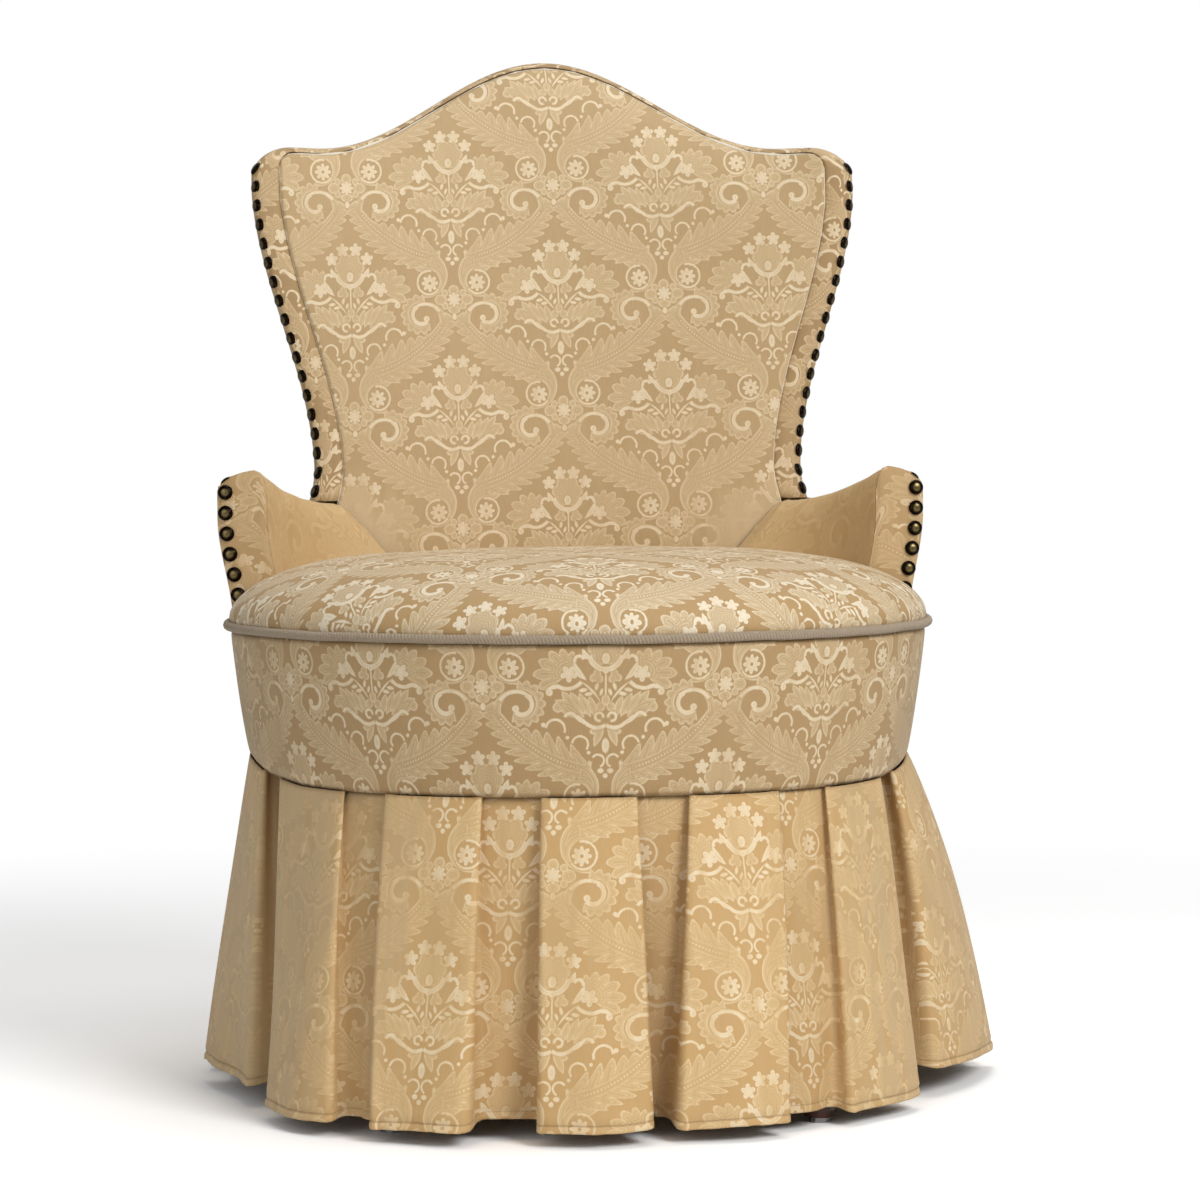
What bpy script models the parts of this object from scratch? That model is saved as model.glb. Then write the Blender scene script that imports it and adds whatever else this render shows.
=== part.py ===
"""Cocktail chair: round sprung seat, barrel back with a camel-back crest, short arms and a box-pleated skirt.

Metres, +Z up, the front faces -Y. Angles around the seat are in degrees from the front, positive towards +X.
"""
import math

import bmesh
import bpy
from mathutils import Vector

# General clearances and cloth
GAP = 0.0003
FIT = 0.0008
CLOTH = 0.0018

# Heights above the floor
HEM_Z = 0.012
SEAM_Z = 0.272
BAND_HEIGHT = 0.1225
CROWN_RISE = 0.0625
WAIST_RISE = 0.0995
ARM_RISE = 0.131
EAR_RISE = 0.3235
CREST_RISE = 0.0855
PIPING_Z = SEAM_Z + BAND_HEIGHT
CROWN_Z = PIPING_Z + CROWN_RISE
WAIST_Z = PIPING_Z + WAIST_RISE
ARM_TOP_Z = PIPING_Z + ARM_RISE
EAR_Z = WAIST_Z + EAR_RISE
CREST_Z = EAR_Z + CREST_RISE

# Round seat
SEAT_RADIUS = 0.298
BAND_TAPER = 0.0195
SEAM_RADIUS = SEAT_RADIUS - BAND_TAPER
REAR_SQUASH = 0.90
PIPING_RADIUS = 0.00375
FACING_ANGLE = 98.0
PAD_REAR_ROOM = 0.004
PAD_CORNER_ANGLE = 131.7
BAND_BULGE = 0.75
CROWN_POWER = 4.0
CROWN_SHAPE = 0.54

# Seat frame and legs
RAIL_HEIGHT = 0.069
RAIL_LIFT = 0.004
RAIL_WIDTH = 0.0635
RAIL_INNER = SEAM_RADIUS - RAIL_WIDTH
LEG_ANGLE = 36.5
LEG_INSET = 0.0365
LEG_SPLAY = 0.048
LEG_TOP_RADIUS = 0.018
LEG_TOP_REACH = SEAM_RADIUS - LEG_INSET
LEG_FOOT_RADIUS = 0.0135
LEG_FOOT_REACH = LEG_TOP_REACH + LEG_SPLAY
GLIDE_HEIGHT = 0.004
GLIDE_RADIUS = 0.009
RAIL_JOINT = 0.12

# Springs and webbing
WEB_WIDTH = 0.048
WEB_THICK = 0.0012
WEB_EDGE = 0.0285
WEB_REACH = SEAM_RADIUS - WEB_EDGE
WEB_COLUMN = RAIL_INNER * 18 / 43
WEB_FRONT = RAIL_INNER * 22 / 43
WEB_REAR = RAIL_INNER * 11 / 43
WEB_ROWS = (-WEB_FRONT, (WEB_REAR - WEB_FRONT) / 2, WEB_REAR)
WEB_COLUMNS = (-WEB_COLUMN, 0.0, WEB_COLUMN)
SPRING_WIRE = 0.0018
SPRING_END_RADIUS = 0.029
SPRING_WAIST_RADIUS = 0.020
SPRING_TURNS = 4
SPRING_TURN_POINTS = 8
HESSIAN_RISE = 0.0075
HESSIAN_Z = PIPING_Z + HESSIAN_RISE
HESSIAN_FLAT = 0.60
HESSIAN_RIM = 0.80
HESSIAN_EDGE = 0.94
DUST_EDGE = 0.0305
DUST_CLEAR = 0.010
DUST_REACH = SEAM_RADIUS - DUST_EDGE
DUST_NOTCH = LEG_TOP_REACH - LEG_TOP_RADIUS - DUST_CLEAR

# Skirt, hanging clear of the feet
PLEATS = 13
PLEAT_OFFSET = -3.4
PANEL_SHARE = 0.64
PLEAT_TOP_DEPTH = 0.007
PLEAT_HEM_DEPTH = 0.021
HEM_CLEAR = 0.0125
HEM_RADIUS = LEG_FOOT_REACH + LEG_FOOT_RADIUS + PLEAT_HEM_DEPTH + HEM_CLEAR
FOLD_LIFT = 0.012
SKIRT_THICK = 0.0024

# Arms at their rear end
WAIST_DRAW = 0.006
ARM_END_ANGLE = 129.0
WAIST_ANGLE = 131.0

# Back, its waist where the arms end
BACK_SET = 0.0562
BACK_RECLINE = 0.118
BACK_FOOT_Y = SEAT_RADIUS * REAR_SQUASH - BACK_SET
BACK_CREST_Y = BACK_FOOT_Y + BACK_RECLINE
BACK_BEND_RISE = 0.0255
BACK_BEND_Z = PIPING_Z + BACK_BEND_RISE
BACK_CURVE = 0.44
BACK_BOTTOM_Z = PIPING_Z + HESSIAN_RISE
WAIST_EASE = 0.0001248
WAIST_HALF = (SEAT_RADIUS - WAIST_DRAW) * math.sin(math.radians(WAIST_ANGLE)) + WAIST_EASE
WAIST_LIFT = 0.032
WAIST_SPREAD = 0.1818
EAR_SPREAD = 0.054
EAR_CORNER = 0.0295
EAR_LEVEL = 0.032
EAR_DROP = 0.0425
EAR_HALF = WAIST_HALF + EAR_SPREAD
EAR_FLAT = EAR_HALF - EAR_CORNER
CREST_HALF = EAR_FLAT - EAR_LEVEL
EAR_ROUND = 0.032
SEAM_ROUND = 0.014
SEAM_INSET = 0.0012
BORDER_WIDTH = 0.024
CREST_BORDER = 0.005
BORDER_FRONT = 0.006
BEVEL_IN = 0.005
BEVEL_FRONT = 0.001
BEVEL_BACK = 0.010
FRAME_FRONT = 0.009
FRAME_BACK = 0.027
PAD_EDGE = 0.007
PAD_CROWN = 0.023
POST_WIDTH = 0.030
POST_FOOT_INSET = 0.0555
POST_FOOT_X = WAIST_HALF - POST_FOOT_INSET
POST_SETBACK = 0.0075
POST_INSET = 0.012
POST_SET_RISE = 0.0355
POST_SET_Z = PIPING_Z + POST_SET_RISE
CREST_RAIL_HEIGHT = 0.052
CROSS_RAIL_HEIGHT = 0.040
STAY_RAIL_RISE = 0.026
STAY_RAIL_Z = WAIST_Z + STAY_RAIL_RISE
MIDDLE_RAIL_DROP = 0.1425
MIDDLE_RAIL_Z = EAR_Z - MIDDLE_RAIL_DROP
BACK_WEB_END = 0.010
BACK_WEB_WIDTH = 0.060
POST_TOP_DROP = 0.045
BORDER_CLEAR = 0.002
SIDE_STEPS = 11
EAR_STEPS = 5
NAILED_EAR_STEPS = 3
BACK_ROWS = 13

# Arms
ARM_THICK = 0.043
FACING_ROOM = 1.0
FACING_START = 0.02
FACING_END = 0.68
COVER_ROOM = 0.07
COVER_START = FACING_END + COVER_ROOM
ARM_FLARE = 0.0125
ARM_FLARE_RISE = 0.09
ARM_TUCK = 0.0115
ARM_TUCK_OUTER = 0.002
ARM_ROLL = ((0.08, 0.009), (0.30, 0.001), (0.55, 0.0), (0.80, 0.004), (0.96, 0.012))
ARM_ROLL_DEPTH = 0.022
ARM_FOOT_EASE = 0.006
ARM_FRAME = 0.023
ARM_PAD_TOP = 0.020
ARM_POST_SPAN = 6.5
ARM_POST_DROP = 0.012
ARM_RAIL_HEIGHT = 0.022
ARM_COVER_DROP = 0.015
FACING_SHOULDER = 0.024
FACING_SIDE = 0.050

# Nails
NAIL_RADIUS = 0.00635
NAIL_HEIGHT = 0.0034
NAIL_SHOULDER = 0.0022
NAIL_RIM = 0.0002
NAIL_EDGE = 0.001
NAIL_START = 0.016
NAIL_END = 0.045
NAIL_PITCH = 0.0178
NAIL_STRIP = 0.004
NAIL_STRIP_THICK = 0.0009
NAIL_SIDES = 7

# Outside cover behind the back's webbing, and the seat's axis with the chair centred front to back
COVER_BACK = FRAME_BACK + GAP + WEB_THICK / 2 + FIT
SEAT_Y = (HEM_RADIUS - BACK_CREST_Y - COVER_BACK - CLOTH) / 2


def smooth(t):
    """Eased step from 0 to 1."""
    t = min(max(t, 0.0), 1.0)
    return t * t * (3 - 2 * t)


def mix(a, b, t):
    return a + (b - a) * t


def steps(start, end, count):
    """count + 1 evenly spaced values from start to end."""
    return [mix(start, end, i / count) for i in range(count + 1)]


def around(angle, radius, z):
    """A point round the seat's axis; the rear half is slightly flattened."""
    a = math.radians(angle)
    y = -radius * math.cos(a)
    if y > 0:
        y *= REAR_SQUASH
    return Vector((radius * math.sin(a), SEAT_Y + y, z))


def drum_radius(z):
    """Outer radius of the band, drawn in towards its lower seam."""
    t = min(max((z - SEAM_Z) / (PIPING_Z - SEAM_Z), 0.0), 1.0)
    return mix(SEAM_RADIUS, SEAT_RADIUS, t ** BAND_BULGE)


# Node making


def clear_scene():
    for item in list(bpy.data.objects):
        bpy.data.objects.remove(item, do_unlink=True)


def add_node(name, bm, finish):
    """One closed body with its own material."""
    colour, roughness, metallic = finish
    bmesh.ops.recalc_face_normals(bm, faces=bm.faces)
    mesh = bpy.data.meshes.new(name)
    bm.to_mesh(mesh)
    bm.free()
    material = bpy.data.materials.new(name)
    material.use_nodes = True
    shader = material.node_tree.nodes["Principled BSDF"]
    shader.inputs["Base Color"].default_value = (*colour, 1.0)
    shader.inputs["Roughness"].default_value = roughness
    shader.inputs["Metallic"].default_value = metallic
    mesh.materials.append(material)
    node = bpy.data.objects.new(name, mesh)
    bpy.context.scene.collection.objects.link(node)
    mesh.shade_smooth()
    mesh.set_sharp_from_angle(angle=math.radians(35))
    return node


def loft(name, sections, finish, closed=False):
    """Joins equal loops of points into one body, capped at its ends or closed into a ring."""
    bm = bmesh.new()
    rings = [[bm.verts.new(p) for p in section] for section in sections]
    pairs = list(zip(rings, rings[1:]))
    if closed:
        pairs.append((rings[-1], rings[0]))
    for near, far in pairs:
        for i in range(len(near)):
            j = (i + 1) % len(near)
            bm.faces.new((near[i], near[j], far[j], far[i]))
    if not closed:
        bm.faces.new(rings[0])
        bm.faces.new(rings[-1])
    return add_node(name, bm, finish)


def disc(name, loops, top, bottom, finish):
    """Loops joined from the top point over the rim to the bottom point."""
    bm = bmesh.new()
    rings = [[bm.verts.new(p) for p in loop] for loop in loops]
    first, last = bm.verts.new(top), bm.verts.new(bottom)
    for near, far in zip(rings, rings[1:]):
        for i in range(len(near)):
            j = (i + 1) % len(near)
            bm.faces.new((near[i], near[j], far[j], far[i]))
    for i in range(len(rings[0])):
        j = (i + 1) % len(rings[0])
        bm.faces.new((first, rings[0][i], rings[0][j]))
        bm.faces.new((last, rings[-1][j], rings[-1][i]))
    return add_node(name, bm, finish)


def panel(name, front, back, finish):
    """A closed panel between two grids of points of equal size."""
    bm = bmesh.new()
    rows, columns = len(front), len(front[0])
    sheets = [[[bm.verts.new(p) for p in row] for row in grid] for grid in (front, back)]
    for sheet in sheets:
        for i in range(rows - 1):
            for j in range(columns - 1):
                bm.faces.new((sheet[i][j], sheet[i][j + 1], sheet[i + 1][j + 1], sheet[i + 1][j]))
    edge = [(0, j) for j in range(columns)]
    edge += [(i, columns - 1) for i in range(1, rows)]
    edge += [(rows - 1, j) for j in range(columns - 2, -1, -1)]
    edge += [(i, 0) for i in range(rows - 2, 0, -1)]
    for (a, b), (c, d) in zip(edge, edge[1:] + edge[:1]):
        bm.faces.new((sheets[0][a][b], sheets[0][c][d], sheets[1][c][d], sheets[1][a][b]))
    return add_node(name, bm, finish)


# Finishes: colour, roughness, metallic
DAMASK = ((0.60, 0.43, 0.24), 0.62, 0.0)
BORDER_CLOTH = ((0.50, 0.35, 0.19), 0.65, 0.0)
CORD = ((0.36, 0.30, 0.24), 0.85, 0.0)
WOOD = ((0.36, 0.21, 0.11), 0.55, 0.0)
DARK_WOOD = ((0.035, 0.014, 0.009), 0.35, 0.0)
STUFFING = ((0.72, 0.66, 0.55), 0.95, 0.0)
HESSIAN = ((0.42, 0.31, 0.18), 0.9, 0.0)
WEBBING = ((0.33, 0.26, 0.16), 0.85, 0.0)
DUST_CLOTH = ((0.02, 0.02, 0.02), 0.9, 0.0)
STEEL = ((0.45, 0.45, 0.44), 0.35, 1.0)
NAIL_METAL = ((0.11, 0.08, 0.05), 0.35, 1.0)

RAIL_BOTTOM = SEAM_Z + RAIL_LIFT
RAIL_TOP = RAIL_BOTTOM + RAIL_HEIGHT
RAIL_SETBACK = CLOTH + 2 * FIT


# Seat frame


def rail_section(angle):
    low = drum_radius(RAIL_BOTTOM) - RAIL_SETBACK
    high = drum_radius(RAIL_TOP) - RAIL_SETBACK
    return [
        around(angle, RAIL_INNER, RAIL_BOTTOM),
        around(angle, low, RAIL_BOTTOM),
        around(angle, high, RAIL_TOP),
        around(angle, RAIL_INNER, RAIL_TOP),
    ]


def seat_rails():
    """Four bandsawn rails that meet over the legs."""
    spans = {
        "seat_rail_front": (-LEG_ANGLE, LEG_ANGLE),
        "seat_rail_right": (LEG_ANGLE, 180 - LEG_ANGLE),
        "seat_rail_back": (180 - LEG_ANGLE, 180 + LEG_ANGLE),
        "seat_rail_left": (180 + LEG_ANGLE, 360 - LEG_ANGLE),
    }
    for name, (start, end) in spans.items():
        count = round((end - start) / 9)
        angles = steps(start + RAIL_JOINT / 2, end - RAIL_JOINT / 2, count)
        loft(name, [rail_section(a) for a in angles], WOOD)


def circle(centre, radius, sides):
    return [
        centre + radius * Vector((math.cos(math.tau * i / sides), math.sin(math.tau * i / sides), 0))
        for i in range(sides)
    ]


def legs():
    """Splayed turned legs under the rail joints, each on a glide."""
    names = {
        "front_right": LEG_ANGLE,
        "rear_right": 180 - LEG_ANGLE,
        "rear_left": 180 + LEG_ANGLE,
        "front_left": -LEG_ANGLE,
    }
    top = RAIL_BOTTOM - GAP
    foot = GLIDE_HEIGHT + GAP
    # height share, radius share between the foot's and the top's radius
    turning = ((0.0, -0.45), (0.02, 0.0), (0.07, 0.3), (0.13, 0.2), (0.45, 0.55), (1.0, 1.0))
    for name, angle in names.items():
        loops = []
        for height, share in turning:
            centre = around(angle, mix(LEG_FOOT_REACH, LEG_TOP_REACH, height), mix(foot, top, height))
            loops.append(circle(centre, mix(LEG_FOOT_RADIUS, LEG_TOP_RADIUS, share), 14))
        base = around(angle, LEG_FOOT_REACH, foot)
        disc("leg_" + name, loops, base, around(angle, LEG_TOP_REACH, top), DARK_WOOD)
        floor = around(angle, LEG_FOOT_REACH, 0.0)
        head = around(angle, LEG_FOOT_REACH, GLIDE_HEIGHT)
        rings = [circle(floor, GLIDE_RADIUS, 12), circle(head, GLIDE_RADIUS, 12)]
        disc("glide_" + name, rings, floor, head, STEEL)


# Springing and seat upholstery


def strap_end(offset, along_y, sign):
    """How far a strap runs from the seat's axis to the middle of the rail."""
    if along_y:
        reach = math.sqrt(WEB_REACH ** 2 - offset ** 2)
        return reach * (REAR_SQUASH if sign > 0 else 1.0)
    across = offset / REAR_SQUASH if offset > 0 else offset
    return math.sqrt(WEB_REACH ** 2 - across ** 2)


def strap(name, low, high):
    corners = []
    for z in (low.z, high.z):
        corners.append([
            Vector((low.x, low.y, z)),
            Vector((high.x, low.y, z)),
            Vector((high.x, high.y, z)),
            Vector((low.x, high.y, z)),
        ])
    loft(name, corners, WEBBING)


def seat_webbing():
    half = WEB_WIDTH / 2
    top = RAIL_BOTTOM - GAP
    for number, x in enumerate(WEB_COLUMNS, 1):
        front = SEAT_Y - strap_end(x, True, -1)
        rear = SEAT_Y + strap_end(x, True, 1)
        strap(
            f"seat_webbing_long_{number}",
            Vector((x - half, front, top - WEB_THICK)),
            Vector((x + half, rear, top)),
        )
    top -= WEB_THICK + GAP
    for number, y in enumerate(WEB_ROWS, 1):
        reach = strap_end(y, False, 1)
        strap(
            f"seat_webbing_cross_{number}",
            Vector((-reach, SEAT_Y + y - half, top - WEB_THICK)),
            Vector((reach, SEAT_Y + y + half, top)),
        )


def spring_places():
    front, middle, rear = WEB_ROWS
    left, centre, right = WEB_COLUMNS
    return [(left, front), (right, front), (centre, middle), (left, rear), (right, rear)]


def springs():
    """Waisted coil springs on the webbing crossings."""
    low = RAIL_BOTTOM + SPRING_WIRE
    high = HESSIAN_Z - CLOTH - GAP - SPRING_WIRE
    count = SPRING_TURNS * SPRING_TURN_POINTS
    for number, (x, y) in enumerate(spring_places(), 1):
        curve = bpy.data.curves.new(f"spring_path_{number}", "CURVE")
        curve.dimensions = "3D"
        curve.bevel_depth = SPRING_WIRE
        curve.bevel_resolution = 0
        curve.use_fill_caps = True
        line = curve.splines.new("POLY")
        line.points.add(count)
        for i, point in enumerate(line.points):
            share = i / count
            pinch = abs(2 * share - 1)
            radius = mix(SPRING_WAIST_RADIUS, SPRING_END_RADIUS, pinch)
            turn = math.tau * i / SPRING_TURN_POINTS
            point.co = (
                x + radius * math.cos(turn),
                SEAT_Y + y + radius * math.sin(turn),
                mix(low, high, share),
                1.0,
            )
        node = bpy.data.objects.new(f"seat_spring_{number}", curve)
        material = bpy.data.materials.new(node.name)
        material.use_nodes = True
        shader = material.node_tree.nodes["Principled BSDF"]
        shader.inputs["Base Color"].default_value = (*STEEL[0], 1.0)
        shader.inputs["Roughness"].default_value = STEEL[1]
        shader.inputs["Metallic"].default_value = STEEL[2]
        curve.materials.append(material)
        bpy.context.scene.collection.objects.link(node)


def pad_reach(angle):
    """Outline of the seat pad: full in front of the facings, inside the arms and the back behind them."""
    turn = abs(angle) % 360
    turn = min(turn, 360 - turn)
    if turn < FACING_ANGLE - FACING_ROOM:
        return SEAT_RADIUS
    s, c = math.sin(math.radians(turn)), -math.cos(math.radians(turn))
    arm = SEAT_RADIUS - ARM_THICK - FIT
    if turn > ARM_END_ANGLE:
        arm *= math.sin(math.radians(ARM_END_ANGLE)) / max(s, 0.1)
    limit = BACK_FOOT_Y - PAD_EDGE - PAD_REAR_ROOM
    bend = s * s / (2 * BACK_CURVE)
    tilt = REAR_SQUASH * c
    if bend < 1e-6:
        back = limit / tilt
    else:
        back = (-tilt + math.sqrt(tilt * tilt + 4 * bend * limit)) / (2 * bend)
    return min(arm, back)


def pad_angles():
    step_at = FACING_ANGLE - FACING_ROOM
    sides = steps(-step_at + 0.05, step_at - 0.05, 22)
    half = [step_at + 0.35, 108, 119, ARM_END_ANGLE, PAD_CORNER_ANGLE, 138, 147, 158, 169]
    return sides + half + [180] + [360 - a for a in reversed(half)]


def crown_height(share):
    edge = PIPING_Z + PIPING_RADIUS + GAP + CLOTH
    return edge + (CROWN_Z - edge) * (1 - share ** CROWN_POWER) ** CROWN_SHAPE


def crown_loop(share, inset):
    """A loop of the crowned seat, inset below its outer surface."""
    return [
        around(a, share * (pad_reach(a) - inset), crown_height(share) - inset)
        for a in pad_angles()
    ]


def hessian_height(share, lift):
    """The hessian lies on the rails at its rim and rises over the springs."""
    low = RAIL_TOP + GAP + lift
    rise = 1 - smooth((share - HESSIAN_FLAT) / (HESSIAN_RIM - HESSIAN_FLAT))
    return mix(low, HESSIAN_Z - CLOTH + lift, rise)


def seat_upholstery():
    axis = Vector((0, SEAT_Y, 0))
    shares = (0.3, 0.55, 0.74, 0.87, 0.95, 0.99, 1.0)

    outer = [crown_loop(s, 0.0) for s in shares]
    inner = [crown_loop(s, CLOTH) for s in reversed(shares)]
    top = axis + Vector((0, 0, crown_height(0)))
    disc("seat_cover", outer + inner, top, top - Vector((0, 0, CLOTH)), DAMASK)

    under = CLOTH + FIT
    low_shares = (0.96, HESSIAN_RIM, HESSIAN_FLAT)
    loops = [crown_loop(s, under) for s in shares]
    side = []
    for a in pad_angles():
        taper = drum_radius(RAIL_TOP) / SEAT_RADIUS
        side.append(around(a, pad_reach(a) * taper - under, RAIL_TOP + GAP))
    loops.append(side)
    lift = CLOTH + FIT
    for s in low_shares:
        loops.append([around(a, s * (pad_reach(a) - under), hessian_height(s, lift)) for a in pad_angles()])
    bottom = axis + Vector((0, 0, hessian_height(0, lift)))
    disc("seat_stuffing", loops, top - Vector((0, 0, under)), bottom, STUFFING)

    rims = (HESSIAN_FLAT, HESSIAN_RIM, HESSIAN_EDGE)

    def hessian_loop(share, lift):
        height = hessian_height(share, lift)
        return [around(a, share * (pad_reach(a) - under), height) for a in pad_angles()]

    upper = [hessian_loop(s, CLOTH) for s in rims]
    lower = [hessian_loop(s, 0.0) for s in reversed(rims)]
    head = axis + Vector((0, 0, hessian_height(0, CLOTH)))
    disc("spring_hessian", upper + lower, head, head - Vector((0, 0, CLOTH)), HESSIAN)


def seat_band():
    """The deep band between the piping and the skirt, from facing to facing."""
    low, high = SEAM_Z, PIPING_Z - PIPING_RADIUS - GAP
    heights = steps(low, high, 5)
    sections = []
    limit = FACING_ANGLE - FACING_ROOM
    for a in steps(-limit, limit, 30):
        outer = [around(a, drum_radius(z), z) for z in heights]
        inner = [around(a, drum_radius(z) - CLOTH, z) for z in reversed(heights)]
        sections.append(outer + inner)
    loft("seat_band", sections, DAMASK)


def piping():
    limit = FACING_ANGLE - FACING_ROOM
    centre = SEAT_RADIUS + 0.0012
    sections = []
    for a in steps(-limit, limit, 30):
        ring = []
        for i in range(8):
            t = math.tau * i / 8
            height = PIPING_Z + PIPING_RADIUS * math.sin(t)
            ring.append(around(a, centre + PIPING_RADIUS * math.cos(t), height))
        sections.append(ring)
    loft("piping_cord", sections, CORD)


def skirt():
    """Box pleats: flat panels with recesses between them, opening towards the hem."""
    pitch = 360 / PLEATS
    # place in the pleat, fold depth share
    outline = (
        (0.0, 0.0),
        (PANEL_SHARE / 3, 0.0),
        (PANEL_SHARE * 2 / 3, 0.0),
        (PANEL_SHARE, 0.0),
        (PANEL_SHARE + 0.06, 1.0),
        (0.94, 1.0),
    )
    top = SEAM_Z - GAP
    sections = []
    for number in range(PLEATS):
        start = PLEAT_OFFSET + (number - PANEL_SHARE / 2) * pitch
        for place, depth in outline:
            angle = start + place * pitch
            outer, inner = [], []
            for share in (0.0, 0.25, 0.5, 0.75, 1.0):
                fall = share ** 0.9
                radius = mix(SEAM_RADIUS - GAP, HEM_RADIUS, fall)
                radius -= depth * mix(PLEAT_TOP_DEPTH, PLEAT_HEM_DEPTH, fall)
                z = mix(top, HEM_Z + depth * FOLD_LIFT, share)
                outer.append(around(angle, radius, z))
                inner.append(around(angle, radius - SKIRT_THICK, z))
            sections.append(outer + inner[::-1])
    loft("pleated_skirt", sections, DAMASK, closed=True)


def dust_cover():
    """Black cloth under the straps, cut back around the legs."""
    top = RAIL_BOTTOM - 2 * (WEB_THICK + GAP) - GAP
    corners = (LEG_ANGLE, 180 - LEG_ANGLE, 180 + LEG_ANGLE, 360 - LEG_ANGLE)
    angles = []
    for a in corners:
        angles += [a - 9, a - 7.5, a, a + 7.5, a + 9]
    angles += [0, 15, 345, 57, 75, 90, 105, 123, 165, 180, 195, 237, 255, 270, 285, 303]
    angles.sort()
    rings = []
    for z in (top, top - CLOTH / 2):
        ring = []
        for a in angles:
            near_leg = min(abs(a - corner) for corner in corners) < 8
            ring.append(around(a, DUST_NOTCH if near_leg else DUST_REACH, z))
        rings.append(ring)
    axis = Vector((0, SEAT_Y, 0))
    disc("dust_cover", rings, axis + Vector((0, 0, top)), axis + Vector((0, 0, top - CLOTH / 2)), DUST_CLOTH)


# Back


def centre_line(z):
    """Depth of the back's frame plane on its centre line: upright at the foot, then reclined."""
    rise = max(z - BACK_BEND_Z, 0.0) / (CREST_Z - BACK_BEND_Z)
    return mix(BACK_FOOT_Y, BACK_CREST_Y, rise ** 1.25)


def back_y(x, z):
    return SEAT_Y + centre_line(z) - x * x / (2 * BACK_CURVE)


def side_half(z):
    """Half width at the back's nail edge: narrow at the waist, widening to the ears."""
    waist = WAIST_Z + WAIST_LIFT
    if z < waist:
        return WAIST_HALF + (waist - z) ** 2 / WAIST_SPREAD
    rise = min((z - waist) / (EAR_Z - EAR_DROP - waist), 1.0)
    return mix(WAIST_HALF, EAR_HALF, smooth(rise * 0.93 + 0.02) / smooth(0.95))


def crest_height(x):
    """Camel-back crest between two level ears with rounded corners."""
    x = abs(x)
    hump = 0.5 * (1 + math.cos(math.pi * min(x / CREST_HALF, 1.0)))
    height = EAR_Z + (CREST_Z - EAR_Z) * hump
    over = min(max(x - EAR_FLAT, 0.0), EAR_ROUND)
    return height - (EAR_ROUND - math.sqrt(EAR_ROUND ** 2 - over ** 2))


def seam_top(x):
    """Height of the inside cover's seam below the crest, rounded into the side seams."""
    x = abs(x)
    over = min(max(x - (EAR_HALF - BORDER_WIDTH - SEAM_ROUND), 0.0), SEAM_ROUND)
    return crest_height(x) - CREST_BORDER - (SEAM_ROUND - math.sqrt(SEAM_ROUND ** 2 - over ** 2))


def back_columns():
    """Shares of the half width, closer together where the ears turn."""
    half = [0.11, 0.25, 0.42, 0.58, 0.74, 0.86, 0.93, 0.965, 0.988, 1.0]
    return [-u for u in reversed(half)] + [0.0] + half


def back_grid(rows, bottom, inset, depth):
    """Points of a layer of the back; depth(u, v) is how far it stands in front of the frame plane."""
    grid = []
    for v in steps(0, 1, rows):
        row = []
        for u in back_columns():
            top = seam_top(u * (EAR_HALF - BORDER_WIDTH)) - inset
            z = mix(bottom, top, v)
            x = u * (side_half(max(z, WAIST_Z)) - BORDER_WIDTH - inset)
            row.append(Vector((x, back_y(x, z) - depth(u, v), z)))
        grid.append(row)
    return grid


def pad_thickness(u, v):
    bulge = (1 - abs(u) ** 3.5) * (1 - abs(2 * v - 1) ** 7)
    return PAD_EDGE + PAD_CROWN * max(bulge, 0.0)


def back_upholstery():
    inset = SEAM_INSET

    def layer(sink):
        return back_grid(BACK_ROWS, BACK_BOTTOM_Z, inset, lambda u, v: pad_thickness(u, v) - sink)

    panel("inside_back_cover", layer(0.0), layer(CLOTH), DAMASK)
    behind = back_grid(BACK_ROWS, BACK_BOTTOM_Z, inset, lambda u, v: FIT - FRAME_FRONT)
    panel("inside_back_stuffing", layer(CLOTH + FIT), behind, STUFFING)


def back_rail(name, reach, low, high, columns):
    """A curved cross member of the back frame; low and high give its edges' heights at x."""
    front, behind = [], []
    for level in (low, high):
        row = []
        for x in steps(-reach, reach, columns):
            z = level(x)
            row.append(Vector((x, back_y(x, z) + FRAME_FRONT, z)))
        front.append(row)
        behind.append([p + Vector((0, FRAME_BACK - FRAME_FRONT, 0)) for p in row])
    panel(name, front, behind, WOOD)


def post_centre(z):
    """The post stands on the rail and follows the back's edge above the waist."""
    rise = smooth((z - RAIL_TOP) / (POST_SET_Z - RAIL_TOP))
    spread = smooth((z - RAIL_TOP) / (WAIST_Z - RAIL_TOP))
    x = mix(POST_FOOT_X, side_half(max(z, WAIST_Z)) - POST_INSET - POST_WIDTH / 2, spread)
    half_depth = (FRAME_BACK - FRAME_FRONT) / 2
    seat = drum_radius(RAIL_TOP) - RAIL_SETBACK - POST_SETBACK - half_depth / REAR_SQUASH
    foot = SEAT_Y + REAR_SQUASH * math.sqrt(seat ** 2 - POST_FOOT_X ** 2)
    y = mix(foot, back_y(x, z) + (FRAME_FRONT + FRAME_BACK) / 2, rise)
    return x, y


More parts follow.
